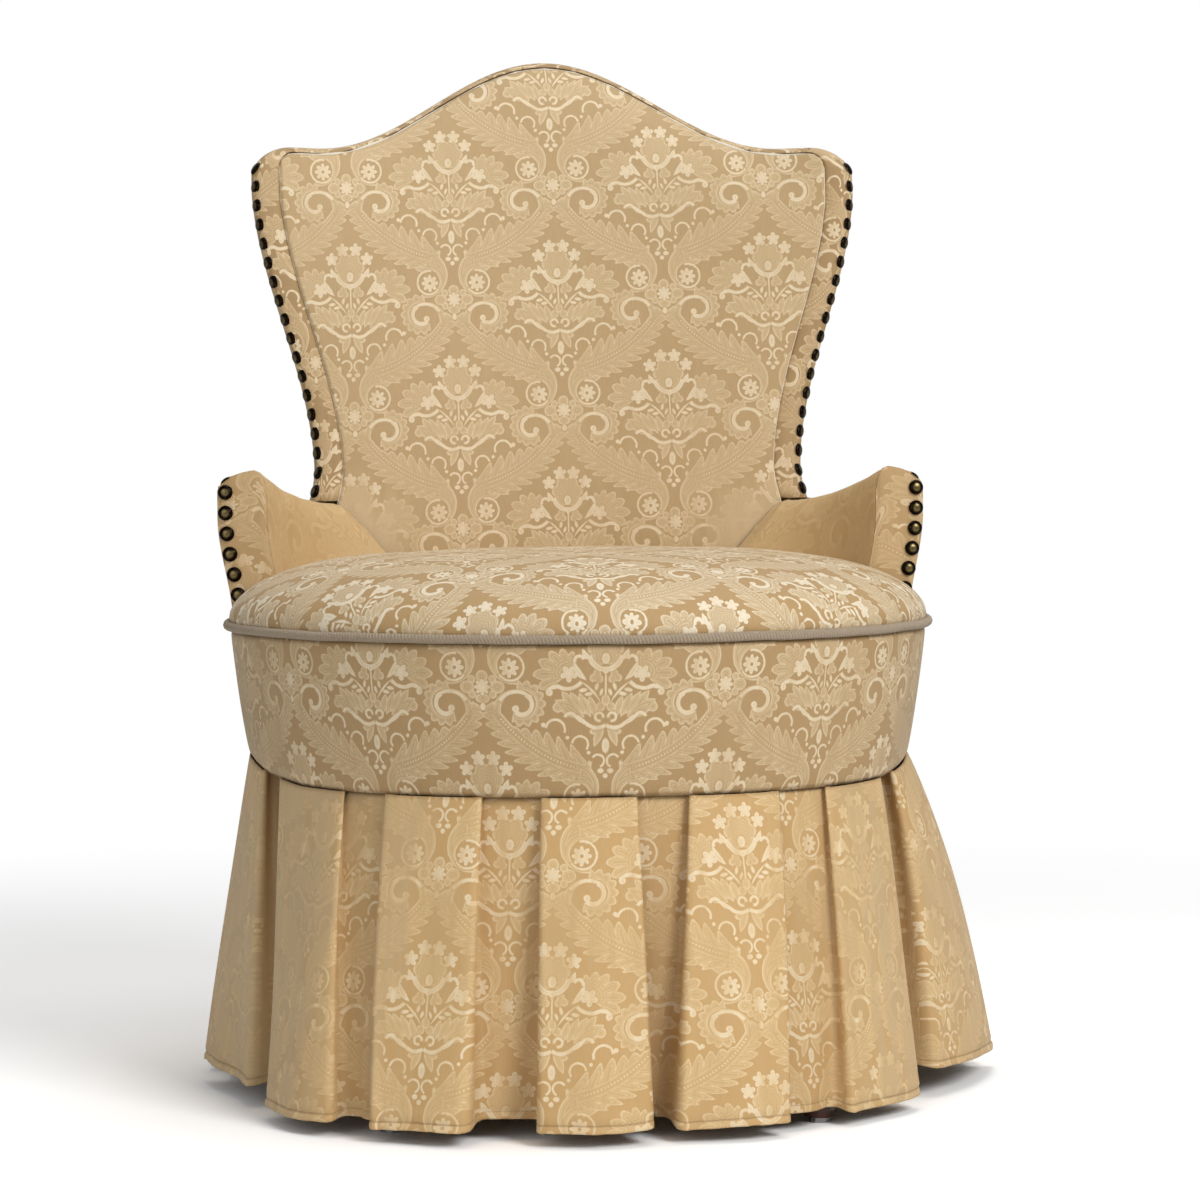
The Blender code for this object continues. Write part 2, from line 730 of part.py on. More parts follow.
def back_frame():
    top = EAR_Z - POST_TOP_DROP
    heights = [RAIL_TOP + GAP] + steps(RAIL_TOP, WAIST_Z, 5)[1:] + steps(WAIST_Z, top, 6)[1:]
    for side, name in ((-1, "back_post_left"), (1, "back_post_right")):
        sections = []
        for z in heights:
            x, y = post_centre(z)
            depth = (FRAME_BACK - FRAME_FRONT) / 2
            corners = ((-1, -1), (1, -1), (1, 1), (-1, 1))
            section = []
            for i, j in corners:
                px = x + i * POST_WIDTH / 2
                lean = back_y(px, z) - back_y(x, z)
                section.append(Vector((side * px, y + j * depth + lean, z)))
            sections.append(section)
        loft(name, sections, WOOD)

    def between_posts(z):
        return side_half(max(z, WAIST_Z)) - POST_INSET - POST_WIDTH - GAP

    back_rail(
        "crest_rail",
        between_posts(EAR_Z - CREST_RAIL_HEIGHT) - FIT,
        lambda x: crest_height(x) - CREST_RAIL_HEIGHT,
        lambda x: crest_height(x) - CREST_BORDER,
        16,
    )
    for name, z in (("stay_rail", STAY_RAIL_Z), ("middle_rail", MIDDLE_RAIL_Z)):
        low, high = z - CROSS_RAIL_HEIGHT / 2, z + CROSS_RAIL_HEIGHT / 2
        reach = min(between_posts(low), between_posts(high)) - FIT
        back_rail(name, reach, lambda x, e=low: e, lambda x, e=high: e, 10)

    half = BACK_WEB_WIDTH / 2
    front, behind = [], []
    foot = STAY_RAIL_Z - CROSS_RAIL_HEIGHT / 2
    for z in steps(foot, crest_height(half) - CREST_BORDER - BACK_WEB_END, 8):
        front.append([Vector((x, back_y(x, z) + FRAME_BACK + GAP, z)) for x in steps(-half, half, 4)])
        behind.append([p + Vector((0, WEB_THICK / 2, 0)) for p in front[-1]])
    panel("back_webbing", front, behind, WEBBING)


def outline_frames():
    """Pairs of outline and seam points, from the waist up the side and over the ear to the crest's centre."""
    corner = crest_height(EAR_HALF)
    seam_x = EAR_HALF - BORDER_WIDTH
    pairs = []
    for z in steps(WAIST_Z + BORDER_CLEAR, corner, SIDE_STEPS)[:-1]:
        pairs.append(((side_half(z), z), (side_half(z) - BORDER_WIDTH, z)))
    for turn in steps(0, math.pi / 2, EAR_STEPS):
        x = EAR_FLAT + (EAR_HALF - EAR_FLAT) * math.cos(turn)
        sx = seam_x - SEAM_ROUND + SEAM_ROUND * math.cos(turn)
        pairs.append(((x, crest_height(x)), (sx, seam_top(sx))))
    for share in steps(1, 0, 14)[1:]:
        x, sx = EAR_FLAT * share, (seam_x - SEAM_ROUND) * share
        pairs.append(((x, crest_height(x)), (sx, seam_top(sx))))
    return [(Vector(p), Vector(q)) for p, q in pairs]


def border_section(outline, seam, side):
    """Seam edge, bevelled front corner and side face, then the same points on the inner side."""
    inward = (seam - outline).normalized()
    width = (seam - outline).length
    bevel = min(BEVEL_IN, width * 0.4)
    across = [
        (width, -BORDER_FRONT, 0.0),
        (bevel, BEVEL_FRONT, CLOTH),
        (0.0, BEVEL_BACK, CLOTH),
        (0.0, FRAME_BACK + GAP, CLOTH),
    ]
    outer, inner = [], []
    for reach, y, depth in across:
        p = outline + inward * reach
        q = outline + inward * (reach + depth)
        sink = 0.0 if y > FRAME_BACK else CLOTH
        outer.append(Vector((side * p.x, back_y(p.x, p.y) + y, p.y)))
        inner.append(Vector((side * q.x, back_y(q.x, q.y) + y + sink, q.y)))
    return outer + inner[::-1]


def back_borders():
    frames = outline_frames()
    turn = SIDE_STEPS + EAR_STEPS
    for side, name in ((-1, "back_border_left"), (1, "back_border_right")):
        sections = [border_section(*frame, side) for frame in frames[:turn]]
        loft(name, sections, BORDER_CLOTH)
    near, far = frames[turn - 1], frames[turn]
    start = (near[0].lerp(far[0], 0.04), near[1].lerp(far[1], 0.04))
    half = [start] + frames[turn:]
    sections = [border_section(*frame, -1) for frame in half]
    sections += [border_section(*frame, 1) for frame in reversed(half[:-1])]
    loft("back_border_crest", sections, BORDER_CLOTH)


def outside_point(u, z):
    """A point on the front face of the outside cover at a share of its half width."""
    if z > WAIST_Z:
        x = u * side_half(z)
        return Vector((x, back_y(x, z) + COVER_BACK, z))
    join = drum_radius(z) * math.sin(math.radians(WAIST_ANGLE))
    x = u * mix(join, side_half(WAIST_Z), smooth((z - PIPING_Z) / (WAIST_Z - PIPING_Z)))
    round_y = SEAT_Y + REAR_SQUASH * math.sqrt(drum_radius(z) ** 2 - x * x) - CLOTH
    blend = smooth((z - RAIL_TOP - FIT) / (POST_SET_Z - RAIL_TOP))
    return Vector((x, mix(round_y, back_y(x, z) + COVER_BACK, blend), z))


def outside_levels():
    return steps(SEAM_Z + GAP, RAIL_TOP, 2) + steps(RAIL_TOP, WAIST_Z, 5)[1:]


def outside_back():
    """Outside cover: follows the frame above and the round of the seat below."""
    front = [[outside_point(u, z) for u in back_columns()] for z in outside_levels()]
    for v in steps(0, 1, 10)[1:]:
        row = []
        for u in back_columns():
            top = crest_height(u * EAR_HALF) - GAP
            row.append(outside_point(u, mix(WAIST_Z, top, v)))
        front.append(row)
    behind = [[p + Vector((0, CLOTH, 0)) for p in row] for row in front]
    panel("outside_back_cover", front, behind, DAMASK)


# Arms


def arm_share(angle):
    return min(max((angle - FACING_ANGLE) / (WAIST_ANGLE - FACING_ANGLE), 0.0), 1.0)


def arm_top(angle):
    return mix(ARM_TOP_Z, WAIST_Z, math.sin(math.pi / 2 * arm_share(angle)) ** 1.1)


def arm_outer(angle, z):
    rise = smooth((z - PIPING_Z) / ARM_FLARE_RISE)
    return drum_radius(z) + rise * mix(ARM_FLARE, -WAIST_DRAW, arm_share(angle))


def arm_inner(angle, z):
    return max(arm_outer(angle, z), SEAT_RADIUS) - ARM_THICK


def arm_profile(angle, inset, outer_inset):
    """Radius and height from the foot of the inner side, over the top, to the outer side."""
    top = arm_top(angle) - inset
    foot = RAIL_TOP + GAP
    low = top - ARM_ROLL_DEPTH
    inner = [(arm_inner(angle, z) + inset, z) for z in (foot, mix(foot, top, 0.5), low)]
    start = arm_inner(angle, low) + inset
    end = arm_outer(angle, low) - outer_inset
    return inner + [(mix(start, end, share), top - drop) for share, drop in ARM_ROLL]


def place(angle, profile, side):
    points = [around(angle, radius, z) for radius, z in profile]
    return [Vector((side * p.x, p.y, p.z)) for p in points]


def tucked(profile, side):
    """The arm's end profile carried back to the front of the back."""
    inner = around(ARM_END_ANGLE, SEAT_RADIUS - ARM_THICK, 0).x
    outer = side_half(WAIST_Z)
    points = []
    for radius, z in profile:
        x = around(ARM_END_ANGLE, radius, z).x
        depth = mix(-ARM_TUCK, ARM_TUCK_OUTER, (x - inner) / (outer - inner))
        points.append(Vector((side * x, back_y(x, z) + depth, z)))
    return points


def arm_side(share, z, depth):
    """A point of the outside arm cover between the arm's rear end and the outside back."""
    start = around(ARM_END_ANGLE, arm_outer(ARM_END_ANGLE, z) - depth, z)
    lean = 1 - smooth((z - PIPING_Z) / (WAIST_Z - PIPING_Z))
    end = outside_point(1, z) + Vector((2 * FIT * lean - depth, -2 * FIT, 0))
    return start.lerp(end, share)


def arms():
    foot = RAIL_TOP + GAP
    start = FACING_ANGLE + COVER_START
    angles = steps(start, ARM_END_ANGLE, 7)
    for side, name in ((-1, "left"), (1, "right")):
        facing = []
        for a in (FACING_ANGLE + FACING_START, FACING_ANGLE + FACING_END):
            profile = arm_profile(a, 0.0, 0.0)
            top = arm_top(a)
            side_heights = (top - FACING_SHOULDER, top - FACING_SIDE, mix(foot, top, 0.5), foot)
            profile += [(arm_outer(a, z), z) for z in side_heights]
            facing.append(place(a, profile, side))
        loft("arm_facing_" + name, facing, BORDER_CLOTH)

        cover, stuffing = [], []
        for a in angles:
            outer = arm_profile(a, 0.0, CLOTH + GAP)
            inner = arm_profile(a, CLOTH, CLOTH + GAP)
            cover.append(place(a, outer + inner[::-1], side))
            profile = arm_profile(a, CLOTH + 2 * FIT, CLOTH + FIT)
            shelf = arm_top(a) - ARM_PAD_TOP
            out = arm_outer(a, shelf) - CLOTH - FIT
            wall = arm_outer(a, shelf) - ARM_FRAME
            wall_low = arm_outer(a, foot) - ARM_FRAME + ARM_FOOT_EASE
            profile += [(out, shelf), (wall, shelf), (wall_low, foot)]
            stuffing.append(place(a, profile, side))
        end = tucked(arm_profile(ARM_END_ANGLE, 0.0, CLOTH + GAP), side)
        cover.append(end + tucked(arm_profile(ARM_END_ANGLE, CLOTH, CLOTH + GAP), side)[::-1])
        loft("inside_arm_cover_" + name, cover, DAMASK)
        loft("arm_stuffing_" + name, stuffing, STUFFING)

        outside = []
        for a in steps(start, ARM_END_ANGLE, 8):
            heights = outside_levels()[:-1] + [arm_top(a) - ARM_COVER_DROP]
            skin = [(arm_outer(a, z), z) for z in heights]
            skin += [(arm_outer(a, z) - CLOTH, z) for z in reversed(heights)]
            outside.append(place(a, skin, side))
        low_edge = arm_top(ARM_END_ANGLE) - ARM_COVER_DROP
        high_edge = WAIST_Z + BORDER_CLEAR - GAP
        for share, edge in ((0.17, low_edge), (0.24, high_edge), (1.0, high_edge)):
            heights = outside_levels()[:-1] + [edge]
            skin = [arm_side(share, z, 0.0) for z in heights]
            skin += [arm_side(share, z, CLOTH) for z in reversed(heights)]
            outside.append([Vector((side * p.x, p.y, p.z)) for p in skin])
        loft("outside_arm_cover_" + name, outside, DAMASK)

        arm_frame(side, name)


def arm_frame(side, name):
    """Post behind the facing and the curved rail from it to the back post."""
    post_start = FACING_ANGLE + COVER_START + 0.15
    post_end = post_start + ARM_POST_SPAN
    shelf = arm_top(post_start) - ARM_PAD_TOP - ARM_POST_DROP
    sections = []
    for z in steps(RAIL_TOP + GAP, shelf, 4):
        ring = []
        for a, inner in ((post_start, True), (post_start, False), (post_end, False), (post_end, True)):
            outer = arm_outer(a, z) - CLOTH - FIT
            if inner:
                floor = arm_outer(a, RAIL_TOP) - ARM_FRAME + ARM_FOOT_EASE
                share = (z - RAIL_TOP) / (arm_top(a) - ARM_PAD_TOP - RAIL_TOP)
                outer = mix(floor, arm_outer(a, arm_top(a) - ARM_PAD_TOP) - ARM_FRAME, share) + FIT
            ring += place(a, [(outer, z)], side)
        sections.append(ring)
    loft("arm_post_" + name, sections, WOOD)

    sections = []
    for a in steps(post_end + 0.2, ARM_END_ANGLE - 2.0, 6):
        top = arm_top(a) - ARM_PAD_TOP - FIT
        low = top - ARM_RAIL_HEIGHT
        inner = arm_outer(a, arm_top(a) - ARM_PAD_TOP) - ARM_FRAME + FIT
        outer_high = arm_outer(a, top) - CLOTH - FIT
        outer_low = arm_outer(a, low) - CLOTH - FIT
        sections.append(place(a, [(inner, low), (outer_low, low), (outer_high, top), (inner, top)], side))
    loft("arm_rail_" + name, sections, WOOD)


# Nails


def spaced(points, pitch):
    """Points at an even pitch along a polyline, with their directions."""
    found, left = [], pitch / 2
    for a, b in zip(points, points[1:]):
        length = (b - a).length
        while left <= length:
            found.append((a.lerp(b, left / length), (b - a).normalized()))
            left += pitch
        left -= length
    return found


def nail_row(name, path, normals):
    """Domed heads joined by their narrow carrier strip."""
    half = NAIL_STRIP / 2
    sections = []
    for i, (p, n) in enumerate(zip(path, normals)):
        along = (path[min(i + 1, len(path) - 1)] - path[max(i - 1, 0)]).normalized()
        across = along.cross(n).normalized()
        lift = n * NAIL_STRIP_THICK
        low, high = p - across * half, p + across * half
        sections.append([low, high, high + lift, low + lift])
    row = loft(name, sections, NAIL_METAL)

    bm = bmesh.new()
    for spot, along in spaced(path, NAIL_PITCH):
        nearest = min(range(len(path)), key=lambda k: (path[k] - spot).length)
        n = (normals[nearest] - along * normals[nearest].dot(along)).normalized()
        across = along.cross(n).normalized()
        rings = []
        for radius, height in ((1.0, NAIL_RIM), (0.80, NAIL_SHOULDER), (0.30, NAIL_HEIGHT)):
            ring = []
            for i in range(NAIL_SIDES):
                t = math.tau * (i + 0.5) / NAIL_SIDES
                offset = (along * math.cos(t) + across * math.sin(t)) * radius * NAIL_RADIUS
                ring.append(bm.verts.new(spot + offset + n * height))
            rings.append(ring)
        for near, far in zip(rings, rings[1:]):
            for i in range(NAIL_SIDES):
                j = (i + 1) % NAIL_SIDES
                bm.faces.new((near[i], near[j], far[j], far[i]))
        bm.faces.new(rings[0])
        bm.faces.new(rings[-1])
    heads = add_node(name + "_heads", bm, NAIL_METAL)
    heads.hide_render = True
    heads.display_type = "WIRE"
    union = row.modifiers.new("Heads", "BOOLEAN")
    union.operation = "UNION"
    union.solver = "EXACT"
    union.object = heads


def nails():
    slope = Vector((BEVEL_BACK - BEVEL_FRONT, BEVEL_IN)).normalized()
    for side, name in ((-1, "back_nails_left"), (1, "back_nails_right")):
        path, normals = [], []
        for outline, seam in outline_frames()[:SIDE_STEPS + NAILED_EAR_STEPS]:
            out = (outline - seam).normalized()
            normal = Vector((side * out.x * slope.x, -slope.y, out.y * slope.x)).normalized()
            spot = outline - out * BEVEL_IN / 2
            depth = (BEVEL_FRONT + BEVEL_BACK) / 2
            base = Vector((side * spot.x, back_y(spot.x, spot.y) + depth, spot.y))
            path.append(base + normal * (4 * GAP))
            normals.append(normal)
        nail_row(name, path, normals)

    for side, name in ((-1, "arm_nails_left"), (1, "arm_nails_right")):
        angle = FACING_ANGLE
        turn = math.radians(angle)
        normal = Vector((-side * REAR_SQUASH * math.cos(turn), -math.sin(turn), 0)).normalized()
        path, normals = [], []
        for z in steps(arm_top(FACING_ANGLE) - NAIL_START, CROWN_Z - NAIL_END, 6):
            p = around(angle, arm_outer(angle, z) - NAIL_RADIUS - NAIL_EDGE, z)
            path.append(Vector((side * p.x, p.y, p.z)) + normal * (2 * GAP))
            normals.append(normal)
        nail_row(name, path, normals)


clear_scene()
seat_rails()
legs()
seat_webbing()
springs()
seat_upholstery()
seat_band()
piping()
skirt()
dust_cover()
back_upholstery()
back_frame()
back_borders()
outside_back()
arms()
nails()
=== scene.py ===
"""Dressed cocktail chair: damask covers, piping cord, domed nails and a box-pleated skirt on its frame.

Metres, +Z up, the front faces -Y. Angles around the seat are in degrees from the front, positive towards +X.
"""
import math

import bmesh
import bpy
from mathutils import Matrix, Vector, noise

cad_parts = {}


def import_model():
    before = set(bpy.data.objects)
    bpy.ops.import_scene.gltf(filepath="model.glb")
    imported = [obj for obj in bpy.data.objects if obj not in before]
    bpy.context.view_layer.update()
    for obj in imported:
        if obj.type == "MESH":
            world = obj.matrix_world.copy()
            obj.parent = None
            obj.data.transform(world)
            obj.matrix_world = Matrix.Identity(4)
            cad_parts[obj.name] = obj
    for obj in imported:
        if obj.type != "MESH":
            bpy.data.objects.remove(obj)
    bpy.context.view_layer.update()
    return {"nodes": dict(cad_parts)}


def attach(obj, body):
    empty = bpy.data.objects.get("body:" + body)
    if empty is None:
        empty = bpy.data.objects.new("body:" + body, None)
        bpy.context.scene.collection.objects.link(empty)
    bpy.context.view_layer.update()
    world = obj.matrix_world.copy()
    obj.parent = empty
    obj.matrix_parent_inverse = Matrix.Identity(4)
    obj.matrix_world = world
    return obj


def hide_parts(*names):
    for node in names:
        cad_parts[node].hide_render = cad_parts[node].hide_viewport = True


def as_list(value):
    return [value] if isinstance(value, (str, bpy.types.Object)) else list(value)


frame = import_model()

# Cloth and clearances
GAP = 0.0003
FIT = 0.0008
CLOTH = 0.0018

# Heights above the floor
HEM_Z = 0.012
SEAM_Z = 0.272
PIPING_Z = 0.3945
CROWN_Z = 0.457
WAIST_Z = 0.494
ARM_TOP_Z = 0.5255
EAR_Z = 0.8175
CREST_Z = 0.903
RAIL_TOP = 0.345

# Seat and skirt
SEAT_RADIUS = 0.298
SEAM_RADIUS = 0.2785
REAR_SQUASH = 0.90
PIPING_RADIUS = 0.00375
FACING_ANGLE = 98.0
FACING_ROOM = 1.0
BAND_BULGE = 0.75
HEM_RADIUS = 0.337
PLEATS = 13
PLEAT_PITCH = 360 / PLEATS
PLEAT_OFFSET = -3.4
PANEL_SHARE = 0.64

# Back
BACK_FOOT_Y = 0.212
BACK_CREST_Y = 0.330
BACK_BEND_Z = 0.42
BACK_CURVE = 0.44
BACK_BOTTOM_Z = 0.402
WAIST_HALF = 0.2205
EAR_HALF = 0.2745
CREST_HALF = 0.213
EAR_FLAT = 0.238
EAR_ROUND = 0.040
SEAM_ROUND = 0.014
BORDER_WIDTH = 0.024
CREST_BORDER = 0.005
COVER_BACK = 0.0287
PAD_EDGE = 0.007
PAD_CROWN = 0.023

# Arms
ARM_THICK = 0.043
ARM_FLARE = 0.0125
WAIST_DRAW = 0.006
ARM_END_ANGLE = 129.0
WAIST_ANGLE = 131.0
COVER_START = FACING_ANGLE + 0.75
# Drop of the arm's top below its highest line, from its inner to its outer side
ARM_ROLL = (
    (0.0, 0.022), (0.06, 0.009), (0.14, 0.002), (0.26, 0.0),
    (0.50, 0.002), (0.80, 0.0065), (0.95, 0.013), (1.0, 0.018),
)
# Rise of the line stitched under the band, by angle
SEAM_RISE = (
    (0, -0.003), (45, -0.004), (60, -0.003), (72, 0.002),
    (84, 0.010), (97, 0.013), (180, 0.013),
)

# Nails and piping; NAIL_EDGE is the middle of a nail in from the arm's outer side
NAIL_RADIUS = 0.00635
NAIL_HEIGHT = 0.0034
NAIL_SINK = 0.0002
NAIL_PITCH = 0.0178
NAIL_EDGE = NAIL_RADIUS + 0.001
CORD_RIBS = 340

# Damask: its repeat, and where its figures lie on the covers, across and up or up alone
REPEAT_WIDE = 0.199
REPEAT_HIGH = 0.208
REPEAT_FOOT = 0.026
CROWN_FIGURES = (0.0053, 0.0155)
BAND_FIGURES = (-0.0953, -0.357)
ARM_FIGURES = (-0.1213, -0.357)
BACK_FIGURES = -0.576
SKIRT_FIGURES = -0.2085
BORDER_FIGURES = (0.02, -0.62)
FACING_FIGURES = (0.03, 0.06)

SIDES = ((-1, "left"), (1, "right"))

SEAT_Y = (HEM_RADIUS - BACK_CREST_Y - COVER_BACK - CLOTH) / 2


def smooth(t):
    t = min(max(t, 0.0), 1.0)
    return t * t * (3 - 2 * t)


def mix(a, b, t):
    return a + (b - a) * t


def curve_at(points, t):
    """Height of a curve through (t, value) points."""
    for (t0, a), (t1, b) in zip(points, points[1:]):
        if t <= t1:
            return mix(a, b, (t - t0) / (t1 - t0))
    return points[-1][1]


def grain(x, y, z=0.0, size=1.0):
    return noise.noise(Vector((x, y, z)) / size)


def around(angle, radius, z):
    a = math.radians(angle)
    y = -radius * math.cos(a)
    if y > 0:
        y *= REAR_SQUASH
    return Vector((radius * math.sin(a), SEAT_Y + y, z))


def seam_z(angle):
    """Height of the stitched line under the band: it dips a little in front and rises towards the sides."""
    return SEAM_Z + curve_at(SEAM_RISE, min(abs(angle), 180.0))


def drum_radius(z):
    t = min(max((z - SEAM_Z) / (PIPING_Z - SEAM_Z), 0.0), 1.0)
    return mix(SEAM_RADIUS, SEAT_RADIUS, t ** BAND_BULGE)


def centre_line(z):
    rise = max(z - BACK_BEND_Z, 0.0) / (CREST_Z - BACK_BEND_Z)
    return mix(BACK_FOOT_Y, BACK_CREST_Y, rise ** 1.25)


def back_y(x, z):
    return SEAT_Y + centre_line(z) - x * x / (2 * BACK_CURVE)


def side_half(z):
    waist = WAIST_Z + 0.032
    if z < waist:
        return WAIST_HALF + 5.5 * (waist - z) ** 2
    rise = min((z - waist) / (0.775 - waist), 1.0)
    return mix(WAIST_HALF, EAR_HALF, smooth(rise * 0.93 + 0.02) / smooth(0.95))


def crest_height(x):
    x = abs(x)
    hump = 0.5 * (1 + math.cos(math.pi * min(x / CREST_HALF, 1.0)))
    over = min(max(x - EAR_FLAT, 0.0), EAR_ROUND)
    return EAR_Z + (CREST_Z - EAR_Z) * hump - (EAR_ROUND - math.sqrt(EAR_ROUND ** 2 - over ** 2))


def seam_top(x):
    x = abs(x)
    over = min(max(x - (EAR_HALF - BORDER_WIDTH - SEAM_ROUND), 0.0), SEAM_ROUND)
    return crest_height(x) - CREST_BORDER - (SEAM_ROUND - math.sqrt(SEAM_ROUND ** 2 - over ** 2))


def arm_share(angle):
    return min(max((angle - FACING_ANGLE) / (WAIST_ANGLE - FACING_ANGLE), 0.0), 1.0)


def arm_top(angle):
    return mix(ARM_TOP_Z, WAIST_Z, math.sin(math.pi / 2 * arm_share(angle)) ** 1.1)


def arm_outer(angle, z):
    return drum_radius(z) + smooth((z - PIPING_Z) / 0.09) * mix(ARM_FLARE, -WAIST_DRAW, arm_share(angle))


def arm_inner(angle, z):
    return max(arm_outer(angle, z), SEAT_RADIUS) - ARM_THICK


# Camera

CAMERA_AWAY = 3.3
CAMERA_HEIGHT = 0.557
CAMERA_LENS = 115.5
CAMERA_ROUND = 5.0
CAMERA_PAN = 0.33
CAMERA_TILT = 2.51
CAMERA_ROLL = 0.35


def set_camera():
    lens = bpy.data.cameras.new("camera")
    lens.sensor_width = 36
    lens.lens = CAMERA_LENS
    camera = bpy.data.objects.new("camera", lens)
    bpy.context.scene.collection.objects.link(camera)
    turn = math.radians(CAMERA_ROUND)
    place = Vector((-CAMERA_AWAY * math.sin(turn), SEAT_Y - CAMERA_AWAY * math.cos(turn), CAMERA_HEIGHT))
    pan = Matrix.Rotation(-math.radians(CAMERA_ROUND + CAMERA_PAN), 4, "Z")
    tilt = Matrix.Rotation(math.radians(90 - CAMERA_TILT), 4, "X")
    roll = Matrix.Rotation(-math.radians(CAMERA_ROLL), 4, "Z")
    camera.matrix_world = Matrix.Translation(place) @ pan @ tilt @ roll
    bpy.context.scene.camera = camera


# Sums on a material's sockets


class Wire:
    """A number in a material that can be added, multiplied and compared."""

    def __init__(self, tree, socket):
        self.tree = tree
        self.socket = socket

    def do(self, kind, *others, clamp=False):
        node = self.tree.nodes.new("ShaderNodeMath")
        node.operation = kind
        node.use_clamp = clamp
        for place, value in enumerate((self, *others)):
            if isinstance(value, Wire):
                self.tree.links.new(value.socket, node.inputs[place])
            else:
                node.inputs[place].default_value = value
        return Wire(self.tree, node.outputs[0])

    def __add__(self, other):
        return self.do("ADD", other)

    def __sub__(self, other):
        return self.do("SUBTRACT", other)

    def __mul__(self, other):
        return self.do("MULTIPLY", other)

    def __rsub__(self, other):
        return self.do("MULTIPLY_ADD", -1.0, other)

    def __mod__(self, other):
        return self.do("WRAP", other, 0.0)


def hyp(a, b):
    """Length of the line from the origin to (a, b)."""
    tree = a.tree
    pair = tree.nodes.new("ShaderNodeCombineXYZ")
    tree.links.new(a.socket, pair.inputs[0])
    tree.links.new(b.socket, pair.inputs[1])
    length = tree.nodes.new("ShaderNodeVectorMath")
    length.operation = "LENGTH"
    tree.links.new(pair.outputs[0], length.inputs[0])
    return Wire(tree, length.outputs["Value"])


def absolute(a):
    return a.do("ABSOLUTE")


def sine(a):
    return a.do("SINE")


def cosine(a):
    return a.do("COSINE")


def bearing(y, x):
    return y.do("ARCTAN2", x)


def largest(first, *rest):
    for other in rest:
        first = first.do("MAXIMUM", other)
    return first


def smallest(first, *rest):
    for other in rest:
        first = first.do("MINIMUM", other)
    return first


# Figures of the damask, in millimetres; each is positive inside the figure


def spot(x, y, cx, cy, r):
    return r - hyp(x - cx, y - cy)


def oval(x, y, cx, cy, rx, ry, turn=0.0):
    c, s = math.cos(math.radians(turn)), math.sin(math.radians(turn))
    u = (x - cx) * (c / rx) + (y - cy) * (s / rx)
    v = (y - cy) * (c / ry) - (x - cx) * (s / ry)
    return (1 - hyp(u, v)) * min(rx, ry)


def petal(x, y, x0, y0, x1, y1, w, bend=0.0):
    """A pointed petal from one tip to the other, w half wide, bowed to its left by bend."""
    half = math.hypot(x1 - x0, y1 - y0) / 2
    c, s = (x1 - x0) / 2 / half, (y1 - y0) / 2 / half
    dx, dy = x - (x0 + x1) / 2 + s * bend, y - (y0 + y1) / 2 - c * bend
    t = dx * (c / half) + dy * (s / half)
    along = t * t
    return (1 - along - absolute(dy * (c / w) - dx * (s / w) + along * (bend / w))) * w


def flower(x, y, cx, cy, r, petals, cut, turn=0.0):
    dx, dy = x - cx, y - cy
    wave = absolute(cosine(bearing(dy, dx) * (petals / 2) - math.radians(turn * petals / 2)))
    return (wave * cut + (1 - cut)) * r - hyp(dx, dy)


def arc(x, y, cx, cy, r, w, facing, spread):
    """Part of a ring, its middle towards facing, reaching spread degrees to both sides."""
    dx, dy = x - cx, y - cy
    far = hyp(dx, dy)
    c, s = math.cos(math.radians(facing)), math.sin(math.radians(facing))
    gate = dx * c + dy * s - far * math.cos(math.radians(spread))
    return smallest(w - absolute(far - r), gate)


def barbs(along, off, first, pitch, lean, widest, reach, narrow):
    """One side of a plume: leaning lobes under an arched limit."""
    lobe = absolute(sine((along - off * lean - first) * (math.pi / pitch)))
    middle = along - widest
    limit = reach - middle * middle * narrow
    return smallest(limit * (lobe * 0.42 + 0.60) - off, largest(lobe * 6.0 - 0.1, 9.0 - off), off + 1.5)


def plume(x, y):
    """The long curled leaf: its body and its dotted rib."""
    bow, turn = 117.0, math.radians(-58.8)
    dx, dy = x + 5.0, y - 153.4
    off = hyp(dx, dy) - bow
    c, s = math.cos(turn), math.sin(turn)
    along = bearing(dy * c - dx * s, dx * c + dy * s) * bow + 44.7
    outer = barbs(along, off, 2.0, 9.6, 1.1, 48, 18.0, 1 / 300)
    inner = barbs(along, off * -1.0, -4.0, 13.0, 1.0, 33, 18.5, 1 / 108)
    ends = smallest(along + 2.0, 99.0 - along)
    trunk = 3.6 - absolute(off)
    body = smallest(largest(outer, inner, trunk), ends)
    rib = smallest(0.6 - absolute(off), sine(along * 2.2) * 0.8 - 0.1, ends - 14.0)
    return body, rib


def fan(x, y, cx, cy):
    """Six lobes round the side flower."""
    dx, dy = x - cx, y - cy
    turn = bearing(dy, dx) * (180 / math.pi)
    lobe = absolute(sine((turn - 12.5) * (math.pi / 25.5)))
    edge = (29.0 - absolute(turn + 3) * 0.105) * (lobe * 0.22 + 0.78)
    gate = smallest(turn + 38, 118 - turn) * 0.25
    far = hyp(dx, dy)
    return smallest(edge - far, gate, largest(lobe * 6.0 - 0.1, 17.0 - far))


